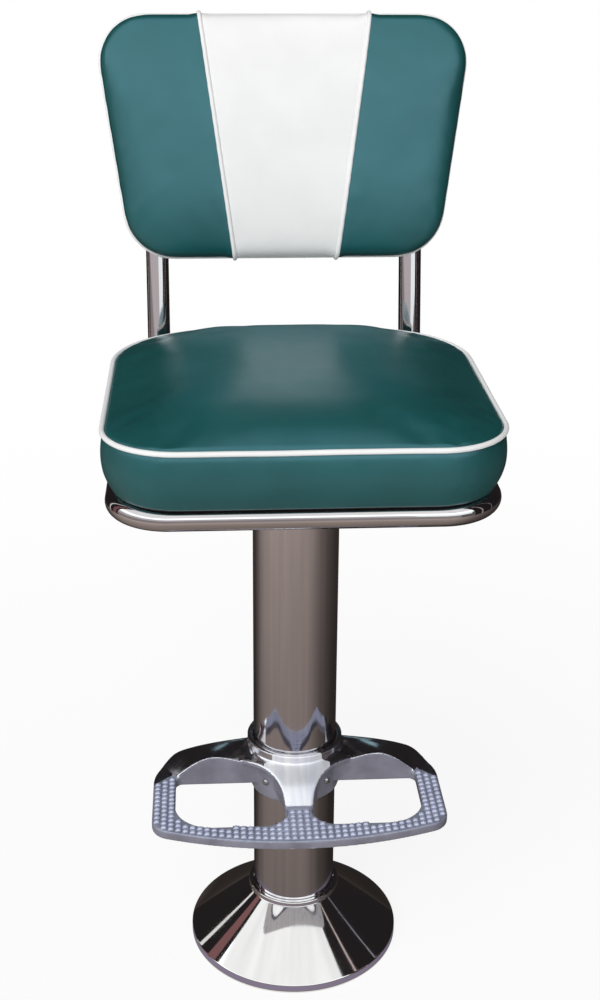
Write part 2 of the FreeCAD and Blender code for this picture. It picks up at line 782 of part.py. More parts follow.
# Spindle, held up by a washer and a snap ring under the lower bushing
washer_top = mm(housing_low + " - bushing_flange - soft_gap")
snap_top = washer_top - size["thrust_washer_thickness"]
snap_low = snap_top - size["snap_ring_thickness"]
spindle_low = snap_low - size["spindle_tail"]
snap_groove_radius = size["spindle_radius"] - size["snap_ring_depth"]
spindle = rod(size["spindle_radius"], plate_low - spindle_low, UP * spindle_low, UP)
neck = rod(size["spindle_radius"], size["snap_ring_thickness"], UP * snap_low, UP)
neck = neck.cut(rod(snap_groove_radius, size["snap_ring_thickness"], UP * snap_low, UP))
shaped("swivel_spindle", spindle.cut([neck, hub_pin(size["running_gap"])]))
washer = rod(size["bushing_flange_radius"], size["thrust_washer_thickness"], UP * snap_top, UP)
washer_bore = rod(mm("spindle_radius + running_gap"), size["thrust_washer_thickness"], UP * snap_top, UP)
shaped("thrust_washer", washer.cut(washer_bore))
snap = rod(snap_groove_radius + size["snap_ring_reach"], size["snap_ring_thickness"], UP * snap_low, UP)
snap_slot = Part.makeBox(mm("spindle_radius + snap_ring_reach"), 2 * size["snap_ring_reach"],
                         size["snap_ring_thickness"], Vector(0, -size["snap_ring_reach"], snap_low))
snap_bore = rod(snap_groove_radius + size["running_gap"], size["snap_ring_thickness"], UP * snap_low, UP)
shaped("snap_ring", snap.cut([snap_bore, snap_slot]))

# Seat ring: one tube bent to the seat's outline, its ends welded at the front
def ring_sketch(body):
    """Draw the ring's centre line from the front middle round and hold it to the sizes."""
    sketch = new_sketch(body, "ring_path", "XY_Plane")
    sketch.AttachmentOffset = Placement(UP * ring_height, Rotation())
    half = size["ring_half_width"]
    front = -size["ring_front"]
    rear = size["ring_rear"]
    corner = size["ring_corner"]
    turn = math.pi / 2
    middles = [(half - corner, front + corner), (half - corner, rear - corner),
               (corner - half, rear - corner), (corner - half, front + corner)]
    stops = [Vector(0, front, 0), Vector(half - corner, front, 0),
             Vector(half, front + corner, 0), Vector(half, rear - corner, 0),
             Vector(half - corner, rear, 0), Vector(corner - half, rear, 0),
             Vector(-half, rear - corner, 0), Vector(-half, front + corner, 0),
             Vector(corner - half, front, 0)]
    for index in range(4):
        sketch.addGeometry(Part.LineSegment(stops[2 * index], stops[2 * index + 1]), False)
        circle = Part.Circle(Vector(*middles[index], 0), UP, corner)
        sketch.addGeometry(Part.ArcOfCircle(circle, (index - 1) * turn, index * turn), False)
    sketch.addGeometry(Part.LineSegment(stops[8], stops[0]), False)
    for index in range(8):
        sketch.addConstraint(Sketcher.Constraint("Tangent", index, 2, index + 1, 1))
    sketch.addConstraint(Sketcher.Constraint("Coincident", 8, 2, 0, 1))
    sketch.addConstraint(Sketcher.Constraint("PointOnObject", 0, 1, -2))
    for line in (0, 4, 8):
        sketch.addConstraint(Sketcher.Constraint("Horizontal", line))
    for line in (2, 6):
        sketch.addConstraint(Sketcher.Constraint("Vertical", line))
    for kind, line, sign, name in (("DistanceY", 0, -1, "ring_front"), ("DistanceX", 2, 1, "ring_half_width"),
                                   ("DistanceY", 4, 1, "ring_rear"), ("DistanceX", 6, -1, "ring_half_width")):
        number = sketch.addConstraint(Sketcher.Constraint(kind, -1, 1, line, 1, sign * size[name]))
        sketch.setExpression("Constraints[%d]" % number, bound(name) if sign > 0 else "-" + bound(name))
    for arc in (1, 3, 5, 7):
        number = sketch.addConstraint(Sketcher.Constraint("Radius", arc, corner))
        sketch.setExpression("Constraints[%d]" % number, bound("ring_corner"))
    return sketch


def sweep_tube(body, path, edge_count, profile):
    """Sweep a profile of circles along a path sketch."""
    pipe = body.newObject("PartDesign::AdditivePipe", body.Name + "_pipe")
    pipe.Profile = profile
    pipe.Spine = (path, ["Edge%d" % (index + 1) for index in range(edge_count)])
    path.Visibility = False
    profile.Visibility = False
    doc.recompute()
    return pipe


ring_body = new_body("ring_bar")
ring_path = ring_sketch(ring_body)
ring_profile = new_sketch(ring_body, "ring_profile", "YZ_Plane")
ring_profile.AttachmentOffset = Placement(Vector(-size["ring_front"], ring_height, 0), Rotation())
draw_circle(ring_profile, "ring_radius")
sweep_tube(ring_body, ring_path, 9, ring_profile)
ring_loop = rounded_rectangle(size["ring_half_width"], size["ring_front"], size["ring_rear"],
                              size["ring_corner"], size["ring_corner"], ring_height)
ring_vents = [rod(size["ring_vent_radius"], size["ring_radius"],
                  Vector(x, size["ring_rear"], ring_height - mm("ring_radius + seat_gap")), UP)
              for x in (-size["rail_spacing"] / 2, size["rail_spacing"] / 2)]
shaped("seat_ring", ring_body.Shape.cut([pipe_round(ring_loop, mm("ring_radius - ring_wall"))] + ring_vents))


# Cross rails: square tubes coped to the ring, carrying the board and bolted to the spider
def cross_rail(name, middle_y):
    """Make a rail across the ring with its two pairs of bolt holes."""
    half = size["ring_half_width"]
    side = 2 * size["ring_radius"]
    inner_side = side - 2 * size["rail_wall"]
    rail = Part.makeBox(2 * half, side, side, Vector(-half, middle_y - side / 2, rail_low))
    inner = Part.makeBox(2 * half, inner_side, inner_side,
                         Vector(-half, middle_y - inner_side / 2, rail_low + size["rail_wall"]))
    cope_radius = mm("ring_radius + seat_gap")
    copes = [rod(cope_radius, 2 * side, Vector(x, middle_y + side, ring_height), FORWARD)
             for x in (-half, half)]
    holes = bolt_holes(spider_bolt_places() + upright_bolt_places(), rail_low, rail_high)
    return shaped(name, rail.cut([inner] + copes + holes))


cross_rail("front_cross_rail", -size["rail_spacing"] / 2)
cross_rail("rear_cross_rail", size["rail_spacing"] / 2)
bolt_tip = board_low + size["bolt_bite"]
spider_bolts = [bolt(place, plate_low, bolt_tip) for place in spider_bolt_places()]
shaped("spider_bolts", Part.makeCompound(spider_bolts))


# Back uprights: each one tube, level under the seat and reclined behind it
run_height = rail_low - mm("upright_radius + seat_gap")
upright_low = run_height - size["upright_radius"]
lean = math.radians(size["recline"])
bend_turn = math.pi / 2 - lean
bend_centre = Vector(0, size["upright_bend_start"], run_height + size["upright_bend"])
bend_end = bend_centre + Vector(0, math.sin(bend_turn), -math.cos(bend_turn)) * size["upright_bend"]
up_the_back = Vector(0, math.sin(lean), math.cos(lean))


def upright_sketch(body, offset):
    """Draw an upright's centre line in its own plane beside the middle."""
    sketch = new_sketch(body, body.Name + "_path", "YZ_Plane")
    sketch.AttachmentOffset = Placement(UP * offset, Rotation())
    start = Vector(-size["upright_front"], run_height, 0)
    corner = Vector(size["upright_bend_start"], run_height, 0)
    middle = Vector(bend_centre.y, bend_centre.z, 0)
    end = Vector(bend_end.y, bend_end.z, 0)
    top = end + Vector(up_the_back.y, up_the_back.z, 0) * size["upright_length"]
    sketch.addGeometry(Part.LineSegment(start, corner), False)
    circle = Part.Circle(middle, UP, size["upright_bend"])
    sketch.addGeometry(Part.ArcOfCircle(circle, -math.pi / 2, bend_turn - math.pi / 2), False)
    sketch.addGeometry(Part.LineSegment(end, top), False)
    sketch.addConstraint(Sketcher.Constraint("Tangent", 0, 2, 1, 1))
    sketch.addConstraint(Sketcher.Constraint("Tangent", 1, 2, 2, 1))
    sketch.addConstraint(Sketcher.Constraint("Horizontal", 0))
    sketch.addConstraint(Sketcher.Constraint("DistanceY", -1, 1, 0, 1, run_height))
    number = sketch.addConstraint(Sketcher.Constraint("DistanceX", 0, 1, -1, 1, size["upright_front"]))
    sketch.setExpression("Constraints[%d]" % number, bound("upright_front"))
    number = sketch.addConstraint(Sketcher.Constraint("DistanceX", -1, 1, 0, 2, size["upright_bend_start"]))
    sketch.setExpression("Constraints[%d]" % number, bound("upright_bend_start"))
    number = sketch.addConstraint(Sketcher.Constraint("Radius", 1, size["upright_bend"]))
    sketch.setExpression("Constraints[%d]" % number, bound("upright_bend"))
    sketch.addConstraint(Sketcher.Constraint("Angle", 2, bend_turn))
    number = sketch.addConstraint(Sketcher.Constraint("Distance", 2, size["upright_length"]))
    sketch.setExpression("Constraints[%d]" % number, bound("upright_length"))
    return sketch


def back_point(across, up, out):
    """Place a point on the back: across, up from its bottom edge and out to the front."""
    return back_frame.multVec(Vector(across, -out, up))


out_of_back = Vector(0, -math.cos(lean), math.sin(lean))
back_seat = bend_end + up_the_back * size["back_bottom"] + out_of_back * mm("upright_radius + seat_gap")
back_frame = Placement(back_seat, Rotation(SIDEWAYS, -size["recline"]))


def back_bolt_seats():
    """Give the seats of the four back bolts on the uprights' rear sides."""
    behind = -mm("upright_radius + upright_radius + seat_gap")
    return [back_point(x, up, behind) for x in (-upright_place, upright_place)
            for up in (size["back_bolt_low"], size["back_bolt_high"])]


rearward = -out_of_back
back_bolt_length = mm("upright_radius + upright_radius + seat_gap + rear_panel_thickness + bolt_bite")
back_bolt_holes = [rod(mm("bolt_radius + seat_gap"), back_bolt_length, seat, out_of_back)
                   for seat in back_bolt_seats()]
back_bolts = [dome_screw(seat, rearward, size["bolt_radius"], back_bolt_length,
                         size["bolt_head_radius"], size["plug_crown"]) for seat in back_bolt_seats()]
shaped("back_bolts", Part.makeCompound(back_bolts))


def upright(name, offset):
    """Make one upright tube, drilled for the bolts under the seat and behind the back."""
    body = new_body(name + "_pipe")
    path = upright_sketch(body, offset)
    profile = new_sketch(body, name + "_profile", "XZ_Plane")
    profile.AttachmentOffset = Placement(Vector(offset, run_height, size["upright_front"]), Rotation())
    draw_circle(profile, "upright_radius")
    draw_circle(profile, "upright_radius - upright_wall")
    sweep_tube(body, path, 3, profile)
    level_holes = bolt_holes(upright_bolt_places(), upright_low - size["overrun"], rail_low)
    return shaped(name, body.Shape.cut(level_holes + back_bolt_holes))


upright("left_upright", -upright_place)
upright("right_upright", upright_place)
upright_bolts = [bolt(place, upright_low, bolt_tip) for place in upright_bolt_places()]
shaped("upright_bolts", Part.makeCompound(upright_bolts))


def end_plug(seat, outward):
    """Give a domed plug pressed into a tube's end."""
    stem = rod(mm("upright_radius - upright_wall - seat_gap"), size["plug_depth"],
               seat - outward * size["plug_depth"], outward)
    return dome(seat, outward, size["upright_radius"], size["plug_crown"]).fuse(stem).removeSplitter()


plugs = []
for offset in (-upright_place, upright_place):
    plugs.append(end_plug(Vector(offset, -size["upright_front"], run_height), FORWARD))
    plugs.append(end_plug(bend_end + up_the_back * size["upright_length"] + SIDEWAYS * offset, up_the_back))
shaped("upright_plugs", Part.makeCompound(plugs))

# Seat: a board under a boxed and crowned cushion with piping round its top edge
piping_height = board_low + size["boxing_height"]
groove_round = mm("piping_radius + soft_gap")


def seat_loop(scale, swell, height):
    """Give the seat's outline, scaled about the column's axis and swollen outwards."""
    return rounded_rectangle(size["seat_half_width"] * scale + swell, size["seat_front"] * scale + swell,
                             size["seat_rear"] * scale + swell, size["seat_front_corner"] * scale + swell,
                             size["seat_rear_corner"] * scale + swell, height)


# Shares of the boxing's height, tuck and bulge, then of the crown's height against the seat's scale
BOXING_SHARES = [(0.0, 1.0, 0.0), (0.2, 0.3, 0.2), (0.5, 0.0, 1.0), (0.8, 0.0, 0.7), (1.0, 0.2, 0.0)]
CROWN_SHARES = [(0.0, 0.992), (0.34, 0.93), (0.6, 0.83), (0.81, 0.67), (0.94, 0.46), (1.0, 0.2)]

boxing_low = board_low + size["soft_gap"]
boxing_loops = [seat_loop(1, size["boxing_bulge"] * bulge - size["boxing_tuck"] * tuck,
                          boxing_low + (piping_height - boxing_low) * rise)
                for rise, tuck, bulge in BOXING_SHARES]
crown_loops = [seat_loop(scale, 0, piping_height + size["seat_crown"] * rise) for rise, scale in CROWN_SHARES]
boxing = Part.makeLoft(boxing_loops, True, False)
crown = Part.makeLoft(crown_loops, True, False)
seat_path = seat_loop(1, 0, piping_height)
board_swell = -mm("boxing_tuck + board_inset")
board = prism(seat_loop(1, board_swell, board_low), UP * size["board_thickness"])
board_room = prism(seat_loop(1, board_swell + size["soft_gap"], board_low - size["overrun"]),
                   UP * mm("board_thickness + soft_gap + overrun"))
shaped("seat_board", board.cut(bolt_holes(spider_bolt_places() + upright_bolt_places(), board_low, bolt_tip)))
shaped("seat_cushion", union(boxing, [crown]).cut([board_room, pipe_round(seat_path, groove_round)]))
shaped("seat_piping", pipe_round(seat_path, size["piping_radius"]))

# Back: a board in a boxed and crowned pad of three sewn panels, closed behind by a rear panel
back_height = size["back_height"]


def back_loop(scale, swell, out):
    """Give the back's outline in its own frame, scaled about its middle and swollen outwards."""
    slope = (size["back_top_width"] - size["back_bottom_width"]) / 2 / back_height
    margin = swell * math.sqrt(1 + slope ** 2)
    half_bottom = size["back_bottom_width"] / 2 - slope * swell + margin
    half_top = size["back_top_width"] / 2 + slope * swell + margin
    middle = back_height / 2
    low = middle - middle * scale - swell
    high = middle + middle * scale + swell
    corners = [Vector(-half_bottom * scale, -out, low), Vector(half_bottom * scale, -out, low),
               Vector(half_top * scale, -out, high), Vector(-half_top * scale, -out, high)]
    bottom_corner = size["back_bottom_corner"] * scale + swell
    top_corner = size["back_top_corner"] * scale + swell
    return rounded_loop(corners, [bottom_corner, bottom_corner, top_corner, top_corner])


BACK_BOXING_SHARES = [(0.0, 0.0), (0.25, 0.4), (0.6, 0.7), (1.0, 0.0)]
BACK_CROWN_SHARES = [(0.0, 0.984), (0.42, 0.93), (0.74, 0.82), (0.93, 0.62), (1.0, 0.35)]

piping_out = mm("rear_panel_thickness + seat_gap") + size["soft_gap"]
pad_rear = piping_out
pad_edge = pad_rear + size["back_boxing"]
pad_front = pad_edge + size["back_crown"]
boxing_loops = [back_loop(1, size["boxing_bulge"] * bulge, pad_rear + size["back_boxing"] * rise)
                for rise, bulge in BACK_BOXING_SHARES]
crown_loops = [back_loop(scale, 0, pad_edge + size["back_crown"] * rise) for rise, scale in BACK_CROWN_SHARES]
pad = union(Part.makeLoft(boxing_loops, True, False), [Part.makeLoft(crown_loops, True, False)])
back_path = back_loop(1, 0, piping_out)
back_board_low = mm("rear_panel_thickness + seat_gap + seat_gap")
back_board = prism(back_loop(1, -size["back_board_inset"], back_board_low),
                   FORWARD * size["back_board_thickness"])
back_board_room = prism(back_loop(1, size["soft_gap"] - size["back_board_inset"], 0),
                        FORWARD * (back_board_low + mm("back_board_thickness + soft_gap")))


def seam_across(up):
    """Give how far from the middle the right-hand seam runs at a height on the back."""
    return size["seam_bottom"] + (size["seam_top"] - size["seam_bottom"]) * up / back_height


def seam_wedge(half_gap):
    """Give the V between the two seams, widened by half a gap each side."""
    low = -size["overrun"] * 2
    high = back_height + size["overrun"] * 2
    out = -size["overrun"]
    half_low = seam_across(low) + half_gap
    half_high = seam_across(high) + half_gap
    corners = [Vector(-half_low, -out, low), Vector(half_low, -out, low),
               Vector(half_high, -out, high), Vector(-half_high, -out, high)]
    return prism(Part.makePolygon(corners + corners[:1]), FORWARD * (pad_front + 3 * size["overrun"]))


# Shares along a seam, up the back and out of it, from the bottom edge to the middle
SEAM_SHARES = [(0.0, -0.66), (0.0, -0.12), (0.008, 0.1), (0.035, 0.42), (0.1, 0.78), (0.19, 0.93),
               (0.5, 1.02)]


def seam_point(shares, from_top):
    """Place a point of the right-hand seam piping on the pad's surface."""
    up_share, out_share = shares
    up = back_height * up_share
    if out_share < 0:
        out = pad_edge + size["back_boxing"] * out_share
    else:
        out = pad_edge + size["back_crown"] * out_share
    if from_top:
        up = back_height - up
    return Vector(seam_across(up), -out, up)


def seam_path():
    """Give the seam piping's centre line: up the boxing, over the crown and down the other boxing."""
    half = [seam_point(shares, False) for shares in SEAM_SHARES]
    other = [seam_point(shares, True) for shares in SEAM_SHARES]
    edges = [Part.LineSegment(half[0], half[1]), Part.Arc(half[1], half[2], half[3]),
             Part.Arc(half[3], half[4], half[5]), Part.Arc(half[5], half[6], other[5]),
             Part.Arc(other[5], other[4], other[3]), Part.Arc(other[3], other[2], other[1]),
             Part.LineSegment(other[1], other[0])]
    return Part.Wire([edge.toShape() for edge in edges])


seam_tube = pipe_round(seam_path(), size["seam_piping_radius"])
seam_room = pipe_round(seam_path(), mm("seam_piping_radius + soft_gap"))
edge_room = pipe_round(back_path, groove_round)
rooms = [back_board_room, edge_room, seam_room, mirrored(seam_room)]
half_gap = size["seam_gap"] / 2
side_panels = pad.cut([seam_wedge(half_gap)] + rooms).Solids
side_panels.sort(key=lambda solid: solid.CenterOfMass.x)
local_bolt_holes = []
for hole in back_bolt_holes:
    local = hole.copy()
    local.Placement = back_frame.inverse().multiply(local.Placement)
    local_bolt_holes.append(local)
rear_panel = prism(back_loop(1, -groove_round, size["seat_gap"]), FORWARD * size["rear_panel_thickness"])
shaped("back_panel_left", side_panels[0], back_frame)
shaped("back_panel_right", side_panels[-1], back_frame)
shaped("back_panel_centre", pad.common(seam_wedge(-half_gap)).cut(rooms), back_frame)
shaped("back_board", back_board.cut(local_bolt_holes), back_frame)
shaped("back_rear_panel", rear_panel.cut(local_bolt_holes), back_frame)
seam_trim = seam_tube.cut(edge_room)
shaped("back_edge_piping", pipe_round(back_path, size["piping_radius"]), back_frame)
shaped("right_seam_piping", seam_trim, back_frame)
shaped("left_seam_piping", mirrored(seam_trim), back_frame)

# Check every object, then write each piece to its own file
doc.recompute()
for item in doc.Objects:
    faults = [state for state in item.State if state in ("Invalid", "Error")]
    if faults:
        raise RuntimeError("%s is %s" % (item.Label, ", ".join(faults)))
for item in pieces:
    if item.Shape.isNull() or not item.Shape.isValid():
        raise RuntimeError("%s has no sound shape" % item.Label)
os.makedirs("parts", exist_ok=True)
for item in pieces:
    item.Shape.exportStep("parts/%s.step" % item.Label)
    box = item.Shape.BoundBox
    print("%-20s solids %2d  volume %9.0f  z %7.1f to %7.1f"
          % (item.Label, len(item.Shape.Solids), item.Shape.Volume, box.ZMin, box.ZMax))
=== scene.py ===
import json
import math

import bmesh
import bpy
from mathutils import Matrix, Vector, noise
from mathutils.bvhtree import BVHTree
from mathutils.kdtree import KDTree


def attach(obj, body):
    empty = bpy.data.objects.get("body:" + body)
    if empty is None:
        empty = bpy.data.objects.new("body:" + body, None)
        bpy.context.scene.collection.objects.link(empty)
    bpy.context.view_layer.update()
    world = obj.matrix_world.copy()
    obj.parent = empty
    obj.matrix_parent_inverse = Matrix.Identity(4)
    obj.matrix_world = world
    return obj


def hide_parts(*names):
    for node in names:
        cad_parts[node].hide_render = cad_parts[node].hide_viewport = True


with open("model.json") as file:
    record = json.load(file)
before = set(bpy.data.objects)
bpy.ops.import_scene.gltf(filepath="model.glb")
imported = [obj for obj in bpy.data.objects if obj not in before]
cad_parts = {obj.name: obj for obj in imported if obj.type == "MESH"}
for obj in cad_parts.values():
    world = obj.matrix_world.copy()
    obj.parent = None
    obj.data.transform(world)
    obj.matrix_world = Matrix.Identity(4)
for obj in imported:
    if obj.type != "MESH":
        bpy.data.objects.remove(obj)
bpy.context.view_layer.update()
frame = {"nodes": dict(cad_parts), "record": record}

# Counter stool, in metres, in the frame of the CAD: +Z up, the sitter faces -Y.

nodes = frame["nodes"]
MM = 0.001
UP = Vector((0, 0, 1))


def in_scene(name, data):
    """Make an object of some data and link it into the scene."""
    made = bpy.data.objects.new(name, data)
    bpy.context.scene.collection.objects.link(made)
    return made


# Shader helpers
def fresh_tree(owner, output_type="ShaderNodeOutputMaterial"):
    """Clear the node tree of a material or a world down to a new output."""
    owner.use_nodes = True
    tree = owner.node_tree
    tree.nodes.clear()
    return tree, tree.nodes.new(output_type)


def new_material(name):
    """Start a material of one shader, joined to its output."""
    material = bpy.data.materials.new(name)
    tree, output = fresh_tree(material)
    shader = tree.nodes.new("ShaderNodeBsdfPrincipled")
    tree.links.new(shader.outputs["BSDF"], output.inputs["Surface"])
    return material, tree, shader


def place(tree):
    """Give the point on the object in metres, which every texture reads."""
    return tree.nodes.new("ShaderNodeTexCoord").outputs["Object"]


def mapped(tree, source, scale):
    """Stretch a point by three scales."""
    mapping = tree.nodes.new("ShaderNodeMapping")
    mapping.inputs["Scale"].default_value = scale
    tree.links.new(source, mapping.inputs["Vector"])
    return mapping.outputs["Vector"]


def noise_at(tree, source, scale, detail=2.0, roughness=0.5):
    """Give a noise value at a number of cells per metre."""
    texture = tree.nodes.new("ShaderNodeTexNoise")
    texture.inputs["Scale"].default_value = scale
    texture.inputs["Detail"].default_value = detail
    texture.inputs["Roughness"].default_value = roughness
    tree.links.new(source, texture.inputs["Vector"])
    return texture.outputs["Fac"]


def cells_at(tree, source, scale):
    """Give the distance to the borders of cells, at a number of cells per metre."""
    texture = tree.nodes.new("ShaderNodeTexVoronoi")
    texture.feature = "DISTANCE_TO_EDGE"
    texture.inputs["Scale"].default_value = scale
    tree.links.new(source, texture.inputs["Vector"])
    return texture.outputs["Distance"]


def spread(tree, value, low, high, to_low, to_high):
    """Map a value from one range to another, held at its ends."""
    node = tree.nodes.new("ShaderNodeMapRange")
    for name, number in (("From Min", low), ("From Max", high), ("To Min", to_low), ("To Max", to_high)):
        node.inputs[name].default_value = number
    tree.links.new(value, node.inputs["Value"])
    return node.outputs["Result"]


def combine(tree, operation, first, second):
    """Join two values, each a socket or a number."""
    node = tree.nodes.new("ShaderNodeMath")
    node.operation = operation
    for socket, value in zip(node.inputs, (first, second)):
        if isinstance(value, (int, float)):
            socket.default_value = value
        else:
            tree.links.new(value, socket)
    return node.outputs["Value"]


def blend_colours(tree, factor, first, second):
    """Mix two colours by a value."""
    node = tree.nodes.new("ShaderNodeMix")
    node.data_type = "RGBA"
    tree.links.new(factor, node.inputs["Factor"])
    for socket, colour in ((node.inputs["A"], first), (node.inputs["B"], second)):
        if isinstance(colour, tuple):
            socket.default_value = (*colour, 1)
        else:
            tree.links.new(colour, socket)
    return node.outputs["Result"]


def from_middle(tree):
    """Give a place's distance from the middle of its object, in metres."""
    length = tree.nodes.new("ShaderNodeVectorMath")
    length.operation = "LENGTH"
    tree.links.new(place(tree), length.inputs[0])
    return length.outputs["Value"]


def when_seen(tree):
    """Give 1 to a ray that sees, directly or by reflection, and 0 to one that gathers light."""
    rays = tree.nodes.new("ShaderNodeLightPath")
    seen = combine(tree, "MAXIMUM", rays.outputs["Is Camera Ray"], rays.outputs["Is Glossy Ray"])
    return combine(tree, "MAXIMUM", seen, rays.outputs["Is Transmission Ray"])


def bumps(tree, shader, layers):
    """Chain bump nodes, each from a height value, its depth in metres and its strength."""
    normal = None
    for height, depth, strength in layers:
        node = tree.nodes.new("ShaderNodeBump")
        node.inputs["Strength"].default_value = strength
        node.inputs["Distance"].default_value = depth
        tree.links.new(height, node.inputs["Height"])
        if normal is not None:
            tree.links.new(normal, node.inputs["Normal"])
        normal = node.outputs["Normal"]
    tree.links.new(normal, shader.inputs["Normal"])


# Materials: the depths of their finest relief, then one function for each kind
GRAIN_DEPTH = 0.12 * MM
CREASE_DEPTH = 0.2 * MM
SOFTNESS_DEPTH = 1.6 * MM
MARK_DEPTH = 0.02 * MM
WAVE_DEPTH = 0.8 * MM
PIT_DEPTH = 0.12 * MM
SWIRL_DEPTH = 0.6 * MM
PAINT_DEPTH = 0.1 * MM
VENEER_DEPTH = 0.3 * MM
CLOTH_TOP = 700 * MM
CLOTH_FADE = 10 * MM


def vinyl(name, dark, light, rough_low, rough_high, gloss, painted_sky_tint):
    """Upholstery vinyl: fine leather grain, faint mottling and a soft gloss."""
    material, tree, shader = new_material(name)
    point = place(tree)
    mottle = noise_at(tree, point, 14, 4)
    colour = blend_colours(tree, spread(tree, mottle, 0.35, 0.65, 0, 1), dark, light)
    tree.links.new(colour, shader.inputs["Base Color"])
    wear = noise_at(tree, point, 30, 3)
    tree.links.new(spread(tree, wear, 0.3, 0.7, rough_low, rough_high), shader.inputs["Roughness"])
    grain = cells_at(tree, point, 850)
    creases = noise_at(tree, point, 260, 3)
    softness = noise_at(tree, point, 38, 2)
    bumps(tree, shader, [(spread(tree, grain, 0, 0.35, 0, 1), GRAIN_DEPTH, 0.16),
                         (creases, CREASE_DEPTH, 0.14), (softness, SOFTNESS_DEPTH, 0.12)])
    shader.inputs["Specular IOR Level"].default_value = gloss
    # Painted reflection: the tint colours the gloss, standing in for the colour of a sky seen in it.
    shader.inputs["Specular Tint"].default_value = (*painted_sky_tint, 1)
    shader.inputs["IOR"].default_value = 1.6
    return material


def chrome(name, tint, rough_low, rough_high, streaked, ringed=False):
    """Bright plate over polished steel, with faint smears and polishing marks."""
    material, tree, shader = new_material(name)
    point = place(tree)
    smear = noise_at(tree, mapped(tree, point, (1, 1, 0.3)), 22, 4)
    tree.links.new(spread(tree, smear, 0.35, 0.7, rough_low, rough_high), shader.inputs["Roughness"])
    stretched, darkest = ((130, 130, 1.2), 0.84) if streaked else ((9, 9, 9), 0.94)
    streaks = noise_at(tree, mapped(tree, point, stretched), 1, 3)
    tone = blend_colours(tree, spread(tree, streaks, 0.35, 0.7, 0, 1), tint,
                         tuple(darkest * channel for channel in tint))
    tree.links.new(tone, shader.inputs["Base Color"])
    shader.inputs["Metallic"].default_value = 1
    stretch = (3, 3, 900) if ringed else (900, 900, 6)
    marks = noise_at(tree, mapped(tree, point, stretch), 1, 2)
    waves = noise_at(tree, point, 20, 1)
    bumps(tree, shader, [(marks, MARK_DEPTH, 0.05), (waves, WAVE_DEPTH, 0.03)])
    return material


def cast_metal(name, dark, light, metallic, rough_low, rough_high, drawn_out=(1, 1, 1)):
    """Cast aluminium with a grainy skin, its stains drawn out where it is brushed."""
    material, tree, shader = new_material(name)
    point = place(tree)
    stain = spread(tree, noise_at(tree, mapped(tree, point, drawn_out), 45, 4), 0.3, 0.7, 0, 1)
    tree.links.new(blend_colours(tree, stain, dark, light), shader.inputs["Base Color"])
    shader.inputs["Metallic"].default_value = metallic
    smear = noise_at(tree, point, 60, 3)
    tree.links.new(spread(tree, smear, 0.3, 0.7, rough_low, rough_high), shader.inputs["Roughness"])
    pits = noise_at(tree, point, 900, 3)
    swirls = noise_at(tree, mapped(tree, point, (1, 1, 3)), 120, 2)
    bumps(tree, shader, [(pits, PIT_DEPTH, 0.16), (swirls, SWIRL_DEPTH, 0.10)])
    return material


def painted(name, colour, roughness, metallic=0.0):
    """Paint, plastic or plain metal with a slight unevenness."""
    material, tree, shader = new_material(name)
    point = place(tree)
    patch = spread(tree, noise_at(tree, point, 40, 4), 0.3, 0.7, 0, 1)
    tree.links.new(blend_colours(tree, patch, colour, tuple(0.8 * channel for channel in colour)),
                   shader.inputs["Base Color"])
    shader.inputs["Metallic"].default_value = metallic
    tree.links.new(spread(tree, patch, 0, 1, roughness * 0.85, roughness * 1.15), shader.inputs["Roughness"])
    bumps(tree, shader, [(noise_at(tree, point, 500, 2), PAINT_DEPTH, 0.15)])
    return material


def plywood(name):
    """Plywood with long grain, and black dust cloth over the board under the seat."""
    material, tree, shader = new_material(name)
    point = place(tree)
    grain = noise_at(tree, mapped(tree, point, (12, 90, 600)), 1, 4, 0.6)
    veneer = blend_colours(tree, spread(tree, grain, 0.35, 0.65, 0, 1),
                           (0.42, 0.28, 0.16), (0.60, 0.44, 0.27))
    parts = tree.nodes.new("ShaderNodeSeparateXYZ")
    tree.links.new(point, parts.inputs["Vector"])
    above_cloth = spread(tree, parts.outputs["Z"], CLOTH_TOP, CLOTH_TOP + CLOTH_FADE, 0, 1)
    colour = blend_colours(tree, above_cloth, (0.012, 0.012, 0.013), veneer)
    tree.links.new(colour, shader.inputs["Base Color"])
    shader.inputs["Roughness"].default_value = 0.7
    bumps(tree, shader, [(grain, VENEER_DEPTH, 0.3)])
    return material


# Painted reflection: the teal's gloss is tinted blue to stand in for a blue sky's reflection; the white's
# gloss stays untinted.
teal = vinyl("teal_vinyl", (0.004, 0.070, 0.066), (0.006, 0.083, 0.080), 0.32, 0.38, 1.0,
             (0.49, 0.79, 1.0))
white = vinyl("white_vinyl", (0.82, 0.82, 0.815), (0.86, 0.86, 0.855), 0.36, 0.46, 0.15, (1.0, 1.0, 1.0))
plate = chrome("chrome_plate", (0.64, 0.615, 0.615), 0.05, 0.10, False)
drawn = chrome("drawn_chrome", (0.69, 0.67, 0.69), 0.05, 0.10, True)
spun = chrome("spun_chrome", (0.80, 0.78, 0.77), 0.04, 0.08, False, ringed=True)
buffed = cast_metal("buffed_aluminium", (0.66, 0.66, 0.70), (0.78, 0.78, 0.81), 1.0, 0.13, 0.22)
brushed = cast_metal("brushed_aluminium", (0.74, 0.76, 0.85), (0.96, 0.96, 0.97), 0.4, 0.26, 0.36,
                     (3.2, 0.3, 0.2))
satin = cast_metal("satin_aluminium", (0.54, 0.57, 0.73), (0.64, 0.68, 0.86), 0.4, 0.34, 0.46)
# Painted shade: a darker copy of the tread aluminium for the flat tread between the studs, standing in for
# the shade in those valleys.
valley_shade = cast_metal("valley_shade_aluminium", (0.27, 0.29, 0.38), (0.37, 0.39, 0.50), 0.4, 0.34, 0.46)
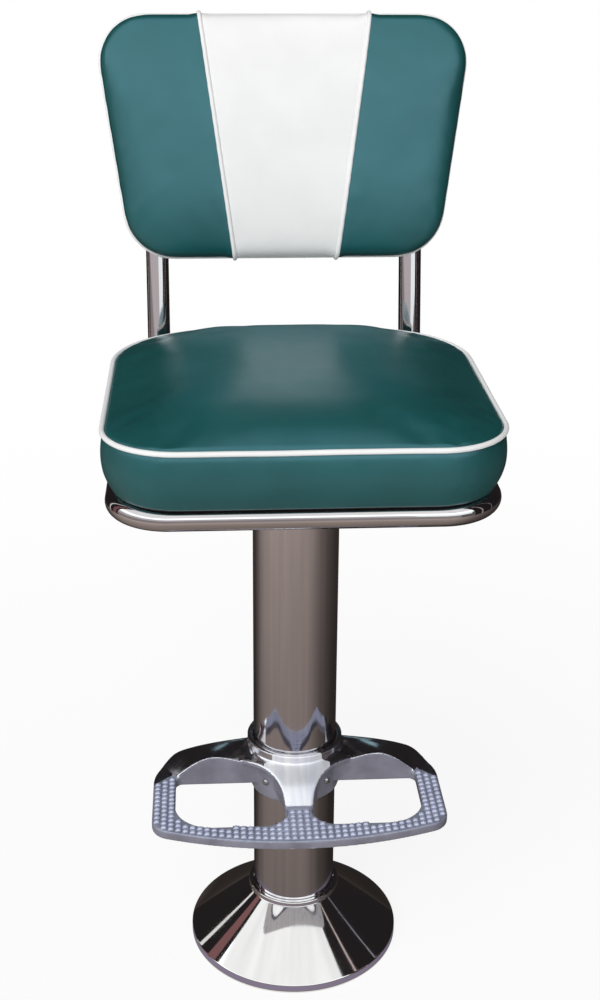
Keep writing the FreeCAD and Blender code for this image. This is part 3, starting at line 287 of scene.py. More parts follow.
# Painted shade: a darker copy again, for the upright walls and the tread's front rim, standing in for light
# falling mostly from above.
wall_shade = cast_metal("wall_shade_aluminium", (0.22, 0.22, 0.27), (0.30, 0.30, 0.37), 0.4, 0.36, 0.48)
black_paint = painted("black_paint", (0.02, 0.02, 0.022), 0.35)
black_plastic = painted("black_plastic", (0.015, 0.015, 0.016), 0.4)
iron = painted("cast_iron", (0.05, 0.05, 0.055), 0.6, 0.6)
steel = painted("bright_steel", (0.55, 0.55, 0.56), 0.28, 1.0)
bronze = painted("sintered_bronze", (0.45, 0.27, 0.11), 0.4, 1.0)
wood = plywood("raw_plywood")

FINISHES = {
    "base_plate": iron, "base_chrome": spun, "cast_aluminium": buffed, "fastener": steel,
    "column_chrome": drawn, "inner_steel": steel, "bushing": bronze, "bearing_steel": steel,
    "spider": black_paint, "frame_chrome": plate, "rail": black_paint, "plug": black_plastic,
    "board": wood, "teal_vinyl": teal, "white_vinyl": white}

for row in frame["record"]["subparts"]:
    data = nodes[row["node"]].data
    data.materials.clear()
    data.materials.append(FINISHES[row["material_slot"]])


# Mesh helpers
TURN_SPACING = 0.4 * MM
BRACE_INSET = 0.6 * MM


def keep(name, mesh, material, body, slot, replaced=()):
    """Make an object of a mesh, give it its finish and let it ride on its body."""
    piece = in_scene(name, mesh)
    mesh.materials.clear()
    mesh.materials.append(material)
    for polygon in mesh.polygons:
        polygon.use_smooth = True
    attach(piece, body)
    if replaced:
        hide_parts(*replaced)
    return piece


def mesh_from(work, name):
    """Turn the faces of a work mesh outwards and keep it as a mesh of the scene."""
    bmesh.ops.recalc_face_normals(work, faces=work.faces)
    mesh = bpy.data.meshes.new(name)
    work.to_mesh(mesh)
    work.free()
    return mesh


def mesh_of_rings(name, rings, joined=False):
    """Skin closed rings of equal count, the two ends closed to their middles or joined to each other."""
    work = bmesh.new()
    rows = [[work.verts.new(point) for point in ring] for ring in rings]
    count = len(rings[0])
    pairs = list(zip(rows, rows[1:]))
    if joined:
        pairs.append((rows[-1], rows[0]))
    for first, second in pairs:
        for index in range(count):
            after = (index + 1) % count
            work.faces.new((first[index], first[after], second[after], second[index]))
    if not joined:
        for row, turn in ((rows[0], True), (rows[-1], False)):
            middle = work.verts.new(sum((vertex.co for vertex in row), Vector()) / count)
            for index in range(count):
                after = (index + 1) % count
                corners = (row[after], row[index], middle) if turn else (row[index], row[after], middle)
                work.faces.new(corners)
    return mesh_from(work, name)


def braced(points, inset):
    """Add a point near both ends of each long side of a closed line, so that its shading stays flat."""
    result = []
    for index, point in enumerate(points):
        after = points[(index + 1) % len(points)]
        along = after - point
        result.append(point)
        if along.length > 4 * inset:
            step = along.normalized() * inset
            result += [point + step, after - step]
    return result


def turned_mesh(name, outline, radii, count=240):
    """Turn a closed outline of radius and height pairs, its corners rounded, about the column's axis."""
    corners = [Vector((radius, 0, height)) for radius, height in outline]
    turns = [2 * math.pi * index / count for index in range(count)]
    rings = [[Vector((point.x * math.cos(turn), point.x * math.sin(turn), point.z)) for turn in turns]
             for point in braced(rounded_loop(corners, radii, TURN_SPACING), BRACE_INSET)]
    return mesh_of_rings(name, rings, joined=True)


def rounded_loop(corners, radii, spacing):
    """Give evenly spaced points along a closed outline of corners, each rounded to a radius."""
    points = []
    count = len(corners)
    for index in range(count):
        corner = corners[index]
        back = (corners[index - 1] - corner).normalized()
        ahead = (corners[(index + 1) % count] - corner).normalized()
        half_angle = back.angle(ahead) / 2
        reach = radii[index] / math.tan(half_angle)
        bisector = (back + ahead).normalized()
        centre = corner + bisector * (radii[index] / math.sin(half_angle))
        first = corner + back * reach - centre
        last = corner + ahead * reach - centre
        sweep = math.pi - 2 * half_angle
        steps = max(2, round(radii[index] * sweep / spacing))
        for step in range(steps + 1):
            share = step / steps
            mixed = first * math.sin((1 - share) * sweep) + last * math.sin(share * sweep)
            points.append(centre + mixed / math.sin(sweep))
    return points


def evenly(points, count):
    """Resample a closed line of points to an even count."""
    lengths = [0.0]
    for index, point in enumerate(points):
        lengths.append(lengths[-1] + (points[(index + 1) % len(points)] - point).length)
    result = []
    index = 0
    for step in range(count):
        wanted = lengths[-1] * step / count
        while lengths[index + 1] < wanted:
            index += 1
        share = (wanted - lengths[index]) / max(lengths[index + 1] - lengths[index], 1e-9)
        result.append(points[index].lerp(points[(index + 1) % len(points)], share))
    return result


def tube_mesh(name, path, radius, sides, closed):
    """Sweep a round tube along points, closed or capped."""
    count = len(path)
    rings = []
    normal = None
    for index, point in enumerate(path):
        if closed:
            along = (path[(index + 1) % count] - path[index - 1]).normalized()
        else:
            along = (path[min(index + 1, count - 1)] - path[max(index - 1, 0)]).normalized()
        if normal is None:
            normal = along.orthogonal().normalized()
        normal = (normal - along * normal.dot(along)).normalized()
        side = along.cross(normal)
        rings.append([point + (normal * math.cos(turn) + side * math.sin(turn)) * radius
                      for turn in (2 * math.pi * step / sides for step in range(sides))])
    return mesh_of_rings(name, rings, joined=closed)


def smooth_step(value, low, high):
    """Rise from 0 at low to 1 at high along an S curve."""
    share = min(max((value - low) / (high - low), 0), 1)
    return share * share * (3 - 2 * share)


def inflate(piece, held, pressure, cap, frames=20):
    """Swell a closed mesh with the cloth solver, its held vertices fixed and its travel capped."""
    start = [vertex.co.copy() for vertex in piece.data.vertices]
    group = piece.vertex_groups.new(name="held")
    for index, weight in held.items():
        group.add([index], weight, "REPLACE")
    cloth = piece.modifiers.new("cloth", "CLOTH")
    settings = cloth.settings
    settings.quality = 6
    settings.mass = 0.3
    settings.tension_stiffness = 30
    settings.compression_stiffness = 30
    settings.bending_stiffness = 4
    settings.use_pressure = True
    settings.uniform_pressure_force = pressure
    settings.vertex_group_mass = "held"
    settings.effector_weights.gravity = 0
    cloth.collision_settings.use_collision = False
    scene = bpy.context.scene
    for step in range(1, frames + 1):
        scene.frame_set(step)
    shape = piece.evaluated_get(bpy.context.evaluated_depsgraph_get()).data
    moved = [vertex.co.copy() for vertex in shape.vertices]
    piece.modifiers.remove(cloth)
    scene.frame_set(1)
    for vertex, before, after in zip(piece.data.vertices, start, moved):
        travel = after - before
        if travel.length > cap:
            travel *= cap / travel.length
        vertex.co = before + travel
    piece.data.update()


def applied(carrier):
    """Give the mesh that an object's modifiers make, and drop the object."""
    shape = carrier.evaluated_get(bpy.context.evaluated_depsgraph_get())
    result = bpy.data.meshes.new_from_object(shape)
    bpy.data.objects.remove(carrier)
    return result


def remeshed(name, mesh, voxel, smoothing):
    """Rebuild a closed mesh in even quads, smoothed a number of times."""
    carrier = in_scene(name, mesh)
    even = carrier.modifiers.new("even", "REMESH")
    even.mode = "VOXEL"
    even.voxel_size = voxel
    soft = carrier.modifiers.new("soft", "SMOOTH")
    soft.factor = 0.5
    soft.iterations = smoothing
    result = applied(carrier)
    result.name = name
    return result


def subdivided(mesh):
    """Give a mesh one level of subdivision."""
    carrier = in_scene(mesh.name, mesh)
    finer = carrier.modifiers.new("finer", "SUBSURF")
    finer.levels = 1
    return applied(carrier)


def calm(mesh, chosen, rounds):
    """Even out the wrinkles of the chosen places of a mesh."""
    work = bmesh.new()
    work.from_mesh(mesh)
    loose = [vertex for vertex in work.verts if chosen(vertex.co)]
    for _ in range(rounds):
        bmesh.ops.smooth_vert(work, verts=loose, factor=0.5,
                              use_axis_x=True, use_axis_y=True, use_axis_z=True)
    work.to_mesh(mesh)
    work.free()


def surface_of(mesh):
    """Give a mesh's surface, to find where rays meet it."""
    return BVHTree.FromPolygons([vertex.co for vertex in mesh.vertices],
                                [tuple(polygon.vertices) for polygon in mesh.polygons])


def distance_to(path):
    """Give a function that tells how far a point lies from a closed line of points."""
    tree = KDTree(len(path))
    for index, point in enumerate(path):
        tree.insert(point, index)
    tree.balance()
    return lambda point: tree.find(point)[2]


# Padded covers, swollen by the cloth solver and evened out
COVER_VOXEL = 5 * MM
COVER_SMOOTHING = 2
COVER_PRESSURE = 4


def soft_cover(name, rings, hold, travel, lies_open, rounds):
    """Skin and swell a padded cover, held as hold says, and even out the places that lie open."""
    mesh = remeshed(name, mesh_of_rings(name, rings), COVER_VOXEL, COVER_SMOOTHING)
    piece = in_scene(name, mesh)
    weights = [(vertex.index, hold(vertex.co)) for vertex in mesh.vertices]
    inflate(piece, {index: weight for index, weight in weights if weight > 0}, COVER_PRESSURE, travel)
    calm(mesh, lies_open, rounds)
    mesh = subdivided(mesh)
    bpy.data.objects.remove(piece)
    return mesh


# Seat, with the zones in which its cover is held, swells, dips and puckers
SEAT_LOW = 677.9 * MM
SEAT_SIDE = 211 * MM
SEAT_FRONT = 215 * MM
SEAT_REAR = 212 * MM
SEAT_FRONT_CORNER = 78 * MM
SEAT_REAR_CORNER = 128 * MM
SEAM_HEIGHT = 744.6 * MM
SEAT_CROWN = 36 * MM
SEAT_SWELL = 4 * MM
BOXING_TUCK = 8 * MM
BOXING_BULGE = 3.5 * MM
PIPING_RADIUS = 2.9 * MM
PIPING_SIDES = 16
PIPING_WANDER = 0.5 * MM
WANDER_CELLS = 14
LOOP_SPACING = 5 * MM
LOOP_COUNT = 320
SEAM_INSET = 1 * MM
HELD_BY_SEAM = (1 * MM, 7 * MM)
HELD_BY_BOARD = (SEAT_LOW + 3 * MM, SEAT_LOW + 12 * MM)
SEAT_CALM_ROUNDS = 8
CALM_FROM_SEAM = 8 * MM
CALM_FROM_BOARD = 5 * MM
GROOVE_WIDTH = 9 * MM
GROOVE_DEPTH = 0.8 * MM
SEAT_PUCKER_ZONE = (4 * MM, 26 * MM)
SEAT_PUCKER = 0.3 * MM
SEAT_WAVE = 0.35 * MM
DOME_ZONE = (SEAM_HEIGHT, SEAM_HEIGHT + 16 * MM)
DOME_LIFT = 1.2 * MM
SHOULDER_ZONE = (40 * MM, 175 * MM)
SHOULDER_FALL = 4.4 * MM


def seat_loop(scale, swell, height):
    """Give the seat's outline, scaled about the column's axis and swollen outwards."""
    side = SEAT_SIDE * scale + swell
    front = SEAT_FRONT * scale + swell
    rear = SEAT_REAR * scale + swell
    corners = [Vector((-side, -front, height)), Vector((side, -front, height)),
               Vector((side, rear, height)), Vector((-side, rear, height))]
    front_corner = SEAT_FRONT_CORNER * scale + swell
    rear_corner = SEAT_REAR_CORNER * scale + swell
    radii = [front_corner, front_corner, rear_corner, rear_corner]
    return evenly(rounded_loop(corners, radii, LOOP_SPACING), LOOP_COUNT)


def seat_cushion():
    """Build the boxed and crowned cushion, swollen between its seam and its board."""
    boxing = [(0.0, 1.3, 0.0), (0.05, 1.0, 0.0), (0.12, 0.68, 0.1), (0.22, 0.38, 0.4), (0.38, 0.1, 0.8),
              (0.58, 0.0, 1.0), (0.8, 0.0, 0.6), (0.95, 0.1, 0.1), (1.0, 0.2, 0.0)]
    crown = [(0.165, 0.984), (0.28, 0.955), (0.395, 0.91), (0.515, 0.84), (0.635, 0.74), (0.755, 0.61),
             (0.87, 0.45), (0.96, 0.25), (0.998, 0.08)]
    boxing_height = SEAM_HEIGHT - SEAT_LOW
    rings = [seat_loop(1, BOXING_BULGE * bulge - BOXING_TUCK * tuck, SEAT_LOW + boxing_height * rise)
             for rise, tuck, bulge in boxing]
    start_crown = SEAT_CROWN - SEAT_SWELL
    rings += [seat_loop(scale, 0, SEAM_HEIGHT + start_crown * rise) for rise, scale in crown]
    seam = distance_to(seat_loop(1, -SEAM_INSET, SEAM_HEIGHT))

    def hold(point):
        """Give how firmly a place is held, at the seam and at the board."""
        near_seam = 1 - smooth_step(seam(point), *HELD_BY_SEAM)
        near_board = 1 - smooth_step(point.z, *HELD_BY_BOARD)
        return max(near_seam, near_board)

    def lies_open(point):
        """Tell whether a place lies clear of both."""
        return seam(point) > CALM_FROM_SEAM and point.z > SEAT_LOW + CALM_FROM_BOARD

    mesh = soft_cover("seat_cushion_cover", rings, hold, SEAT_SWELL, lies_open, SEAT_CALM_ROUNDS)
    for vertex in mesh.vertices:
        away = seam(vertex.co)
        groove = 1 - smooth_step(away, 0, GROOVE_WIDTH)
        outward = Vector((vertex.co.x, vertex.co.y, 0)).normalized()
        pucker = noise.noise(vertex.co * 55) * (1 - smooth_step(away, *SEAT_PUCKER_ZONE))
        wave = noise.noise(vertex.co * 9 + Vector((3, 1, 7)))
        dome = smooth_step(vertex.co.z, *DOME_ZONE)
        lift = DOME_LIFT - SHOULDER_FALL * smooth_step(abs(vertex.co.x), *SHOULDER_ZONE)
        vertex.co += outward * (pucker * SEAT_PUCKER - groove * GROOVE_DEPTH)
        vertex.co += UP * (wave * SEAT_WAVE + dome * lift)
        vertex.co.z = max(vertex.co.z, SEAT_LOW)
    piece = keep("seat_cushion_cover", mesh, teal, "seat", "teal_vinyl", ["seat_cushion"])


seat_cushion()
seam_line = seat_loop(1, 0, SEAM_HEIGHT)
for point in seam_line:
    point.z += PIPING_WANDER * noise.noise(point * WANDER_CELLS)
keep("seat_top_piping", tube_mesh("seat_top_piping", seam_line, PIPING_RADIUS, PIPING_SIDES, True), white,
     "seat", "white_vinyl", ["seat_piping"])

# Back, laid out in its own frame: across, up the back and out of it towards the sitter
RECLINE = math.radians(10.8)
BACK_HEIGHT = 293.5 * MM
BACK_TOP = 469 * MM
BACK_BOTTOM = 385 * MM
BACK_TOP_CORNER = 56 * MM
BACK_BOTTOM_CORNER = 61 * MM
BACK_BOXING = 30 * MM
BACK_CROWN = 14.5 * MM
BACK_SWELL = 3 * MM
REAR_PANEL = 3.2 * MM
SEAT_GAP = 0.1 * MM
COVER_GAP = 0.2 * MM
PAD_REAR = REAR_PANEL + SEAT_GAP + COVER_GAP
PAD_EDGE = PAD_REAR + BACK_BOXING
SEAM_TOP = 104 * MM
SEAM_BOTTOM = 64 * MM
SEAM_PIPING_RADIUS = 2.6 * MM
UPRIGHT_X = 162 * MM
UPRIGHT_RADIUS = 14.3 * MM
UPRIGHT_WALL = 1.6 * MM
UPRIGHT_HEIGHT = 637.7 * MM
UPRIGHT_FRONT = 96 * MM
BEND_START = 193 * MM
BEND_RADIUS = 60 * MM
UPRIGHT_LENGTH = 392 * MM
BACK_RISE = 141.2 * MM
HELD_AT_REAR = (PAD_REAR + 2 * MM, PAD_REAR + 9 * MM)
HELD_AT_SEAMS = (2 * MM, 9 * MM)
CALM_FROM_REAR = 6 * MM
CALM_FROM_SEAMS = 7 * MM
BACK_CALM_ROUNDS = 6
STILL_REAR = 1 * MM
EDGE_ZONE = 16 * MM
PEAK_ZONE = (2 * MM, 14 * MM)
PEAK_HEIGHT = 1.6 * MM
DIP_WIDTH = 5 * MM
DIP_DEPTH = 1 * MM
BACK_PUCKER_ZONE = (3 * MM, 20 * MM)
BACK_PUCKER = 0.25 * MM
BACK_WAVE = 0.5 * MM
CUT_SHIFT = 0.3 * MM
LOOK_DEPTH = 6 * MM
LOOK_SWEEP = math.radians(194)
LOOK_STEPS = 900
SEAM_SPACING = 2.5 * MM
SEAM_SIDES = 14
EDGE_WANDER = 0.4 * MM
REAR_FACE = 0.1 * MM
REAR_FRONT = 3.3 * MM

back_up = Vector((0, math.sin(RECLINE), math.cos(RECLINE)))
back_out = Vector((0, -math.cos(RECLINE), math.sin(RECLINE)))
bend_sweep = math.pi / 2 - RECLINE
bend_centre = Vector((0, BEND_START, UPRIGHT_HEIGHT + BEND_RADIUS))
bend_end = bend_centre + Vector((0, math.sin(bend_sweep), -math.cos(bend_sweep))) * BEND_RADIUS
back_seat = bend_end + back_up * BACK_RISE + back_out * (UPRIGHT_RADIUS + SEAT_GAP)


def back_point(across, up, out):
    """Turn the back's own measures into a point of the stool."""
    return back_seat + Vector((across, 0, 0)) + back_up * up + back_out * out


def back_measures(point):
    """Turn a point of the stool into the back's own measures."""
    offset = point - back_seat
    return offset.x, offset.dot(back_up), offset.dot(back_out)


def back_loop(scale, swell, out):
    """Give the back's outline at a distance out, scaled about its middle and swollen outwards."""
    slope = (BACK_TOP - BACK_BOTTOM) / 2 / BACK_HEIGHT
    margin = swell * math.sqrt(1 + slope ** 2)
    half_bottom = BACK_BOTTOM / 2 - slope * swell + margin
    half_top = BACK_TOP / 2 + slope * swell + margin
    middle = BACK_HEIGHT / 2
    low = middle - middle * scale - swell
    high = middle + middle * scale + swell
    corners = [back_point(-half_bottom * scale, low, out), back_point(half_bottom * scale, low, out),
               back_point(half_top * scale, high, out), back_point(-half_top * scale, high, out)]
    bottom_corner = BACK_BOTTOM_CORNER * scale + swell
    top_corner = BACK_TOP_CORNER * scale + swell
    radii = [bottom_corner, bottom_corner, top_corner, top_corner]
    return evenly(rounded_loop(corners, radii, LOOP_SPACING), LOOP_COUNT)


def seam_across(up):
    """Give how far from the middle a seam runs at a height on the back."""
    return SEAM_BOTTOM + (SEAM_TOP - SEAM_BOTTOM) * up / BACK_HEIGHT


def off_seam(across, up):
    """Give how far a place lies outside the nearer seam."""
    return abs(across) - seam_across(up)


def hold_back(point):
    """Give how firmly a place of the back is held, at its rear edge and along the seams."""
    across, up, out = back_measures(point)
    at_rear = 1 - smooth_step(out, *HELD_AT_REAR)
    at_seam = 1 - smooth_step(abs(off_seam(across, up)), *HELD_AT_SEAMS)
    return max(at_rear, at_seam)


def back_lies_open(point):
    """Tell whether a place of the back lies clear of the seams and of the rear edge."""
    across, up, out = back_measures(point)
    return out > PAD_REAR + CALM_FROM_REAR and abs(off_seam(across, up)) > CALM_FROM_SEAMS


def back_pad():
    """Build the whole pad of the back before it is cut into its three panels."""
    boxing = [(0.0, 0.0), (0.12, 0.1), (0.3, 0.2), (0.55, 0.1), (0.75, -0.3), (0.9, -0.9), (1.0, -1.6)]
    crown = [(0.12, 0.968), (0.22, 0.94), (0.33, 0.90), (0.46, 0.84), (0.61, 0.74), (0.77, 0.60),
             (0.92, 0.38), (1.0, 0.1)]
    start_crown = BACK_CROWN - BACK_SWELL * 0.7
    rings = [back_loop(1, BACK_SWELL * bulge, PAD_REAR + BACK_BOXING * rise) for rise, bulge in boxing]
    rings += [back_loop(scale, 0, PAD_EDGE + start_crown * rise) for rise, scale in crown]
    mesh = soft_cover("back_pad", rings, hold_back, BACK_SWELL, back_lies_open, BACK_CALM_ROUNDS)
    for vertex in mesh.vertices:
        across, up, out = back_measures(vertex.co)
        if out < PAD_REAR + STILL_REAR:
            continue
        beside = abs(off_seam(across, up))
        edge = 1 - smooth_step(min(up, BACK_HEIGHT - up), 0, EDGE_ZONE)
        peak = edge * (1 - smooth_step(beside, *PEAK_ZONE))
        dip = (1 - smooth_step(beside, 0, DIP_WIDTH)) * (1 - edge)
        pucker = noise.noise(vertex.co * 60) * (1 - smooth_step(beside, *BACK_PUCKER_ZONE))
        wave = noise.noise(vertex.co * 8 + Vector((5, 2, 9)))
        vertical = back_up if up > BACK_HEIGHT / 2 else -back_up
        vertex.co += vertical * (peak * PEAK_HEIGHT)
        vertex.co += back_out * (pucker * BACK_PUCKER + wave * BACK_WAVE - dip * DIP_DEPTH)
    return mesh


def cut_panel(whole, name, sides):
    """Keep the part of the pad on the given sides of the seams, closed at each cut."""
    work = bmesh.new()
    work.from_mesh(whole)
    for hand, inner in sides:
        low = back_point(hand * SEAM_BOTTOM, 0, 0)
        high = back_point(hand * SEAM_TOP, BACK_HEIGHT, 0)
        across = (high - low).cross(back_out).normalized()
        if across.x * hand < 0:
            across.negate()
        across *= 1 if inner else -1
        everything = list(work.verts) + list(work.edges) + list(work.faces)
        cut = bmesh.ops.bisect_plane(work, geom=everything, plane_co=low - across * CUT_SHIFT,
                                     plane_no=across, clear_outer=True)
        edges = [item for item in cut["geom_cut"] if isinstance(item, bmesh.types.BMEdge)]
        bmesh.ops.holes_fill(work, edges=edges, sides=0)
    return mesh_from(work, name)


def seam_line_on(surface, hand):
    """Find the line where a seam's plane meets the front and edges of the pad."""
    middle = BACK_HEIGHT / 2
    start = back_point(hand * seam_across(middle), middle, PAD_EDGE - LOOK_DEPTH)
    along = back_point(hand * SEAM_TOP, BACK_HEIGHT, 0) - back_point(hand * SEAM_BOTTOM, 0, 0)
    along.normalize()
    line = []
    for step in range(LOOK_STEPS + 1):
        turn = LOOK_SWEEP * (step / LOOK_STEPS - 0.5)
        point, normal = surface.ray_cast(start, along * math.sin(turn) + back_out * math.cos(turn))[:2]
        if point is not None and (not line or (point - line[-1]).length > SEAM_SPACING):
            line.append(point + normal * (SEAM_PIPING_RADIUS * 0.25))
    return line


pad = back_pad()
pad_surface = surface_of(pad)
for name, node, sides, material, slot in (
        ("back_panel_left_cover", "back_panel_left", [(-1, False)], teal, "teal_vinyl"),
        ("back_panel_right_cover", "back_panel_right", [(1, False)], teal, "teal_vinyl"),
        ("back_panel_centre_cover", "back_panel_centre", [(-1, True), (1, True)], white, "white_vinyl")):
    panel = keep(name, cut_panel(pad, name, sides), material, "seat", slot, [node])
for hand, side in ((-1, "left"), (1, "right")):
    name = side + "_seam_cord"
    cord = tube_mesh(name, seam_line_on(pad_surface, hand), SEAM_PIPING_RADIUS, SEAM_SIDES, False)
    keep(name, cord, white, "seat", "white_vinyl", [side + "_seam_piping"])
edge_line = back_loop(1, 0, PAD_REAR)
for point in edge_line:
    point += back_out * (EDGE_WANDER * noise.noise(point * WANDER_CELLS))
keep("back_edge_cord", tube_mesh("back_edge_cord", edge_line, PIPING_RADIUS, PIPING_SIDES, True), white,
     "seat", "white_vinyl", ["back_edge_piping"])


def rear_cover():
    """Build the rear panel: a thin vinyl-covered plate with a rolled edge."""
    steps = [(-2.6, 3.3), (-1.2, 3.2), (-0.5, 2.6), (-0.2, 1.6), (-0.7, 0.7), (-1.8, 0.25), (-4, 0.1)]
    rings = [back_loop(1, swell * MM - PIPING_RADIUS, out * MM) for swell, out in steps]
    inner = [back_loop(scale, 0, REAR_FACE) for scale in (0.9, 0.7, 0.45, 0.2)]
    outer = [back_loop(scale, 0, REAR_FRONT) for scale in (0.2, 0.45, 0.7, 0.9)]
    return mesh_of_rings("back_rear_cover", outer + rings + inner)


keep("back_rear_cover", rear_cover(), teal, "seat", "teal_vinyl", ["back_rear_panel"])

# Chrome frame: the ring and the uprights, each swept along its own line
RING_SIDE = 198.3 * MM
RING_FRONT = 191.8 * MM
RING_REAR = 192 * MM
RING_CORNER = 57 * MM
RING_HEIGHT = 664.8 * MM
RING_RADIUS = 12.7 * MM
RING_SPACING = 2 * MM
RING_COUNT = 420
TUBE_SIDES = 48
BEND_STEPS = 32
BEND_BRACE = 4 * MM
END_BRACE = 1 * MM
ring_corners = [Vector((x, y, RING_HEIGHT)) for x, y in (
    (-RING_SIDE, -RING_FRONT), (RING_SIDE, -RING_FRONT), (RING_SIDE, RING_REAR), (-RING_SIDE, RING_REAR))]
ring_line = evenly(rounded_loop(ring_corners, [RING_CORNER] * 4, RING_SPACING), RING_COUNT)
keep("seat_ring_tube", tube_mesh("seat_ring_tube", ring_line, RING_RADIUS, TUBE_SIDES, True), plate, "seat",
     "frame_chrome", ["seat_ring"])


def upright_line(x):
    """Give the centre line of one upright, from under the seat, round the bend and up the back."""
    aside = Vector((x, 0, 0))
    line = [aside + Vector((0, -UPRIGHT_FRONT + END_BRACE * braces, UPRIGHT_HEIGHT)) for braces in range(3)]
    line.append(aside + Vector((0, BEND_START - BEND_BRACE, UPRIGHT_HEIGHT)))
    for step in range(BEND_STEPS + 1):
        turn = bend_sweep * step / BEND_STEPS
        line.append(aside + bend_centre + Vector((0, math.sin(turn), -math.cos(turn))) * BEND_RADIUS)
    line.append(aside + bend_end + back_up * BEND_BRACE)
    for braces in (2, 1, 0):
        line.append(aside + bend_end + back_up * (UPRIGHT_LENGTH - END_BRACE * braces))
    return line


def open_tube(name, line, radius, wall):
    """Sweep a tube with a bore and two open ends along a line that bends in one upright plane."""
    sideways = Vector((1, 0, 0))
    turns = [2 * math.pi * step / TUBE_SIDES for step in range(TUBE_SIDES)]
    outer = []
    inner = []
    for index, point in enumerate(line):
        along = (line[min(index + 1, len(line) - 1)] - line[max(index - 1, 0)]).normalized()
        across = along.cross(sideways)
        spokes = [sideways * math.cos(turn) + across * math.sin(turn) for turn in turns]
        outer.append([point + spoke * radius for spoke in spokes])
        inner.append([point + spoke * (radius - wall) for spoke in spokes])
    return mesh_of_rings(name, outer + inner[::-1], joined=True)


for hand, side in ((-1, "left"), (1, "right")):
    name = side + "_upright_tube"
    keep(name, open_tube(name, upright_line(hand * UPRIGHT_X), UPRIGHT_RADIUS, UPRIGHT_WALL), plate, "seat",
         "frame_chrome", [side + "_upright"])

# Footrest: the casting with soft edges, and the studs on its tread
CASTING_VOXEL = 1.4 * MM
CASTING_SMOOTHING = 5
STUD_PITCH = 8.4 * MM
STUD_HALF = 3.9 * MM
STUD_HEIGHT = 3.0 * MM
STUD_ROUNDING = (1.6, 0.8)
STUD_ROWS = 18
STUD_MARGIN = 7.5 * MM
STUD_SINK = 0.25 * MM
STUD_FOOTING = 0.45 * STUD_HALF
TREAD_TOP = 250 * MM
TREAD_ROUGHNESS = 1.2 * MM
TREAD_FLATNESS = 0.7 * MM
LOOK_HEIGHT = 60 * MM
TREAD_HALF = 174 * MM
TREAD_FRONT = 169.5 * MM
TREAD_BOW = 475 * MM
WALL_TOP = 276 * MM
BRIDGE_HALF = 40 * MM
BRIDGE_START = 50 * MM
ARM_END = 26 * MM
ARM_INNER = 150 * MM
ARM_SLANT = 0.9
# The fourth finish is painted shade: a darker aluminium for the upright walls and the front rim.
BUFFED, VALLEY_SHADE, BRUSHED, WALL_SHADE = range(4)


def on_arm(x, y):
    """Tell whether a place lies behind the slanting line where the arm's bright skin meets the tread."""
    return y > -ARM_END - ARM_SLANT * (abs(x) - ARM_INNER)


casting = remeshed("footrest_body", nodes["footrest_casting"].data.copy(), CASTING_VOXEL, CASTING_SMOOTHING)
casting_surface = surface_of(casting)
keep("footrest_body", casting, buffed, "pedestal", "cast_aluminium", ["footrest_casting"])
for finish in (valley_shade, brushed, wall_shade):
    casting.materials.append(finish)
# Painted shade: the flat tread between the studs, and the upright walls and front rim, take darker copies of
# the aluminium in place of the shade that falls there.
for polygon in casting.polygons:
    middle = polygon.center
    facing = polygon.normal
    on_tread = middle.z < TREAD_TOP + TREAD_ROUGHNESS and not on_arm(middle.x, middle.y)
    is_wall = abs(facing.z) < 0.5 and facing.y < 0.3 and middle.z < WALL_TOP
    if on_tread and facing.z > 0.6:
        polygon.material_index = VALLEY_SHADE
    elif facing.z < -0.6:
        polygon.material_index = BRUSHED
    elif on_tread or is_wall:
        polygon.material_index = WALL_SHADE
    elif abs(middle.x) < BRIDGE_HALF and middle.y < -BRIDGE_START:
        polygon.material_index = BRUSHED
    else:
        polygon.material_index = BUFFED


def front_edge(x):
    """Give the Y of the tread's bowed front edge at an X."""
    return -TREAD_FRONT + TREAD_BOW - math.sqrt(TREAD_BOW ** 2 - x ** 2)


def lies_on_tread(x, y, half):
    """Tell whether a square about a place lies wholly on the tread's flat top."""
    for step_x in (-half, 0, half):
        for step_y in (-half, 0, half):
            above = Vector((x + step_x, y + step_y, TREAD_TOP + LOOK_HEIGHT))
            hit = casting_surface.ray_cast(above, -UP)[0]
            if hit is None or abs(hit.z - TREAD_TOP) > TREAD_FLATNESS:
                return False
    return True


def stud_patch(work, x, y, base):
    """Add one rounded pyramid, closed underneath."""
    shares = (-1, -0.5, 0, 0.5, 1)
    bulge, softening = STUD_ROUNDING
    rows = []
    for share_y in shares:
        row = []
        for share_x in shares:
            lift = (1 - abs(share_x) ** bulge) * (1 - abs(share_y) ** bulge)
            row.append(work.verts.new((x + share_x * STUD_HALF, y + share_y * STUD_HALF,
                                       base + STUD_HEIGHT * lift ** softening)))
        rows.append(row)
    for index in range(4):
        for step in range(4):
            work.faces.new((rows[index][step], rows[index][step + 1], rows[index + 1][step + 1],
                            rows[index + 1][step]))
    rim = rows[0][:4] + [row[4] for row in rows[:4]] + rows[4][4:0:-1] + [row[0] for row in rows[4:0:-1]]
    work.faces.new(rim[::-1])


def tread_studs():
    """Lay the studs in rows that follow the tread's front edge."""
    work = bmesh.new()
    columns = int(TREAD_HALF / STUD_PITCH)
    for column in range(-columns, columns + 1):
        x = column * STUD_PITCH
        for row in range(STUD_ROWS):
            y = front_edge(x) + STUD_MARGIN + row * STUD_PITCH
            if lies_on_tread(x, y, STUD_FOOTING) and not on_arm(x, y):
                stud_patch(work, x, y, TREAD_TOP - STUD_SINK)
    return mesh_from(work, "footrest_studs")


keep("footrest_studs", tread_studs(), satin, "pedestal", "cast_aluminium")

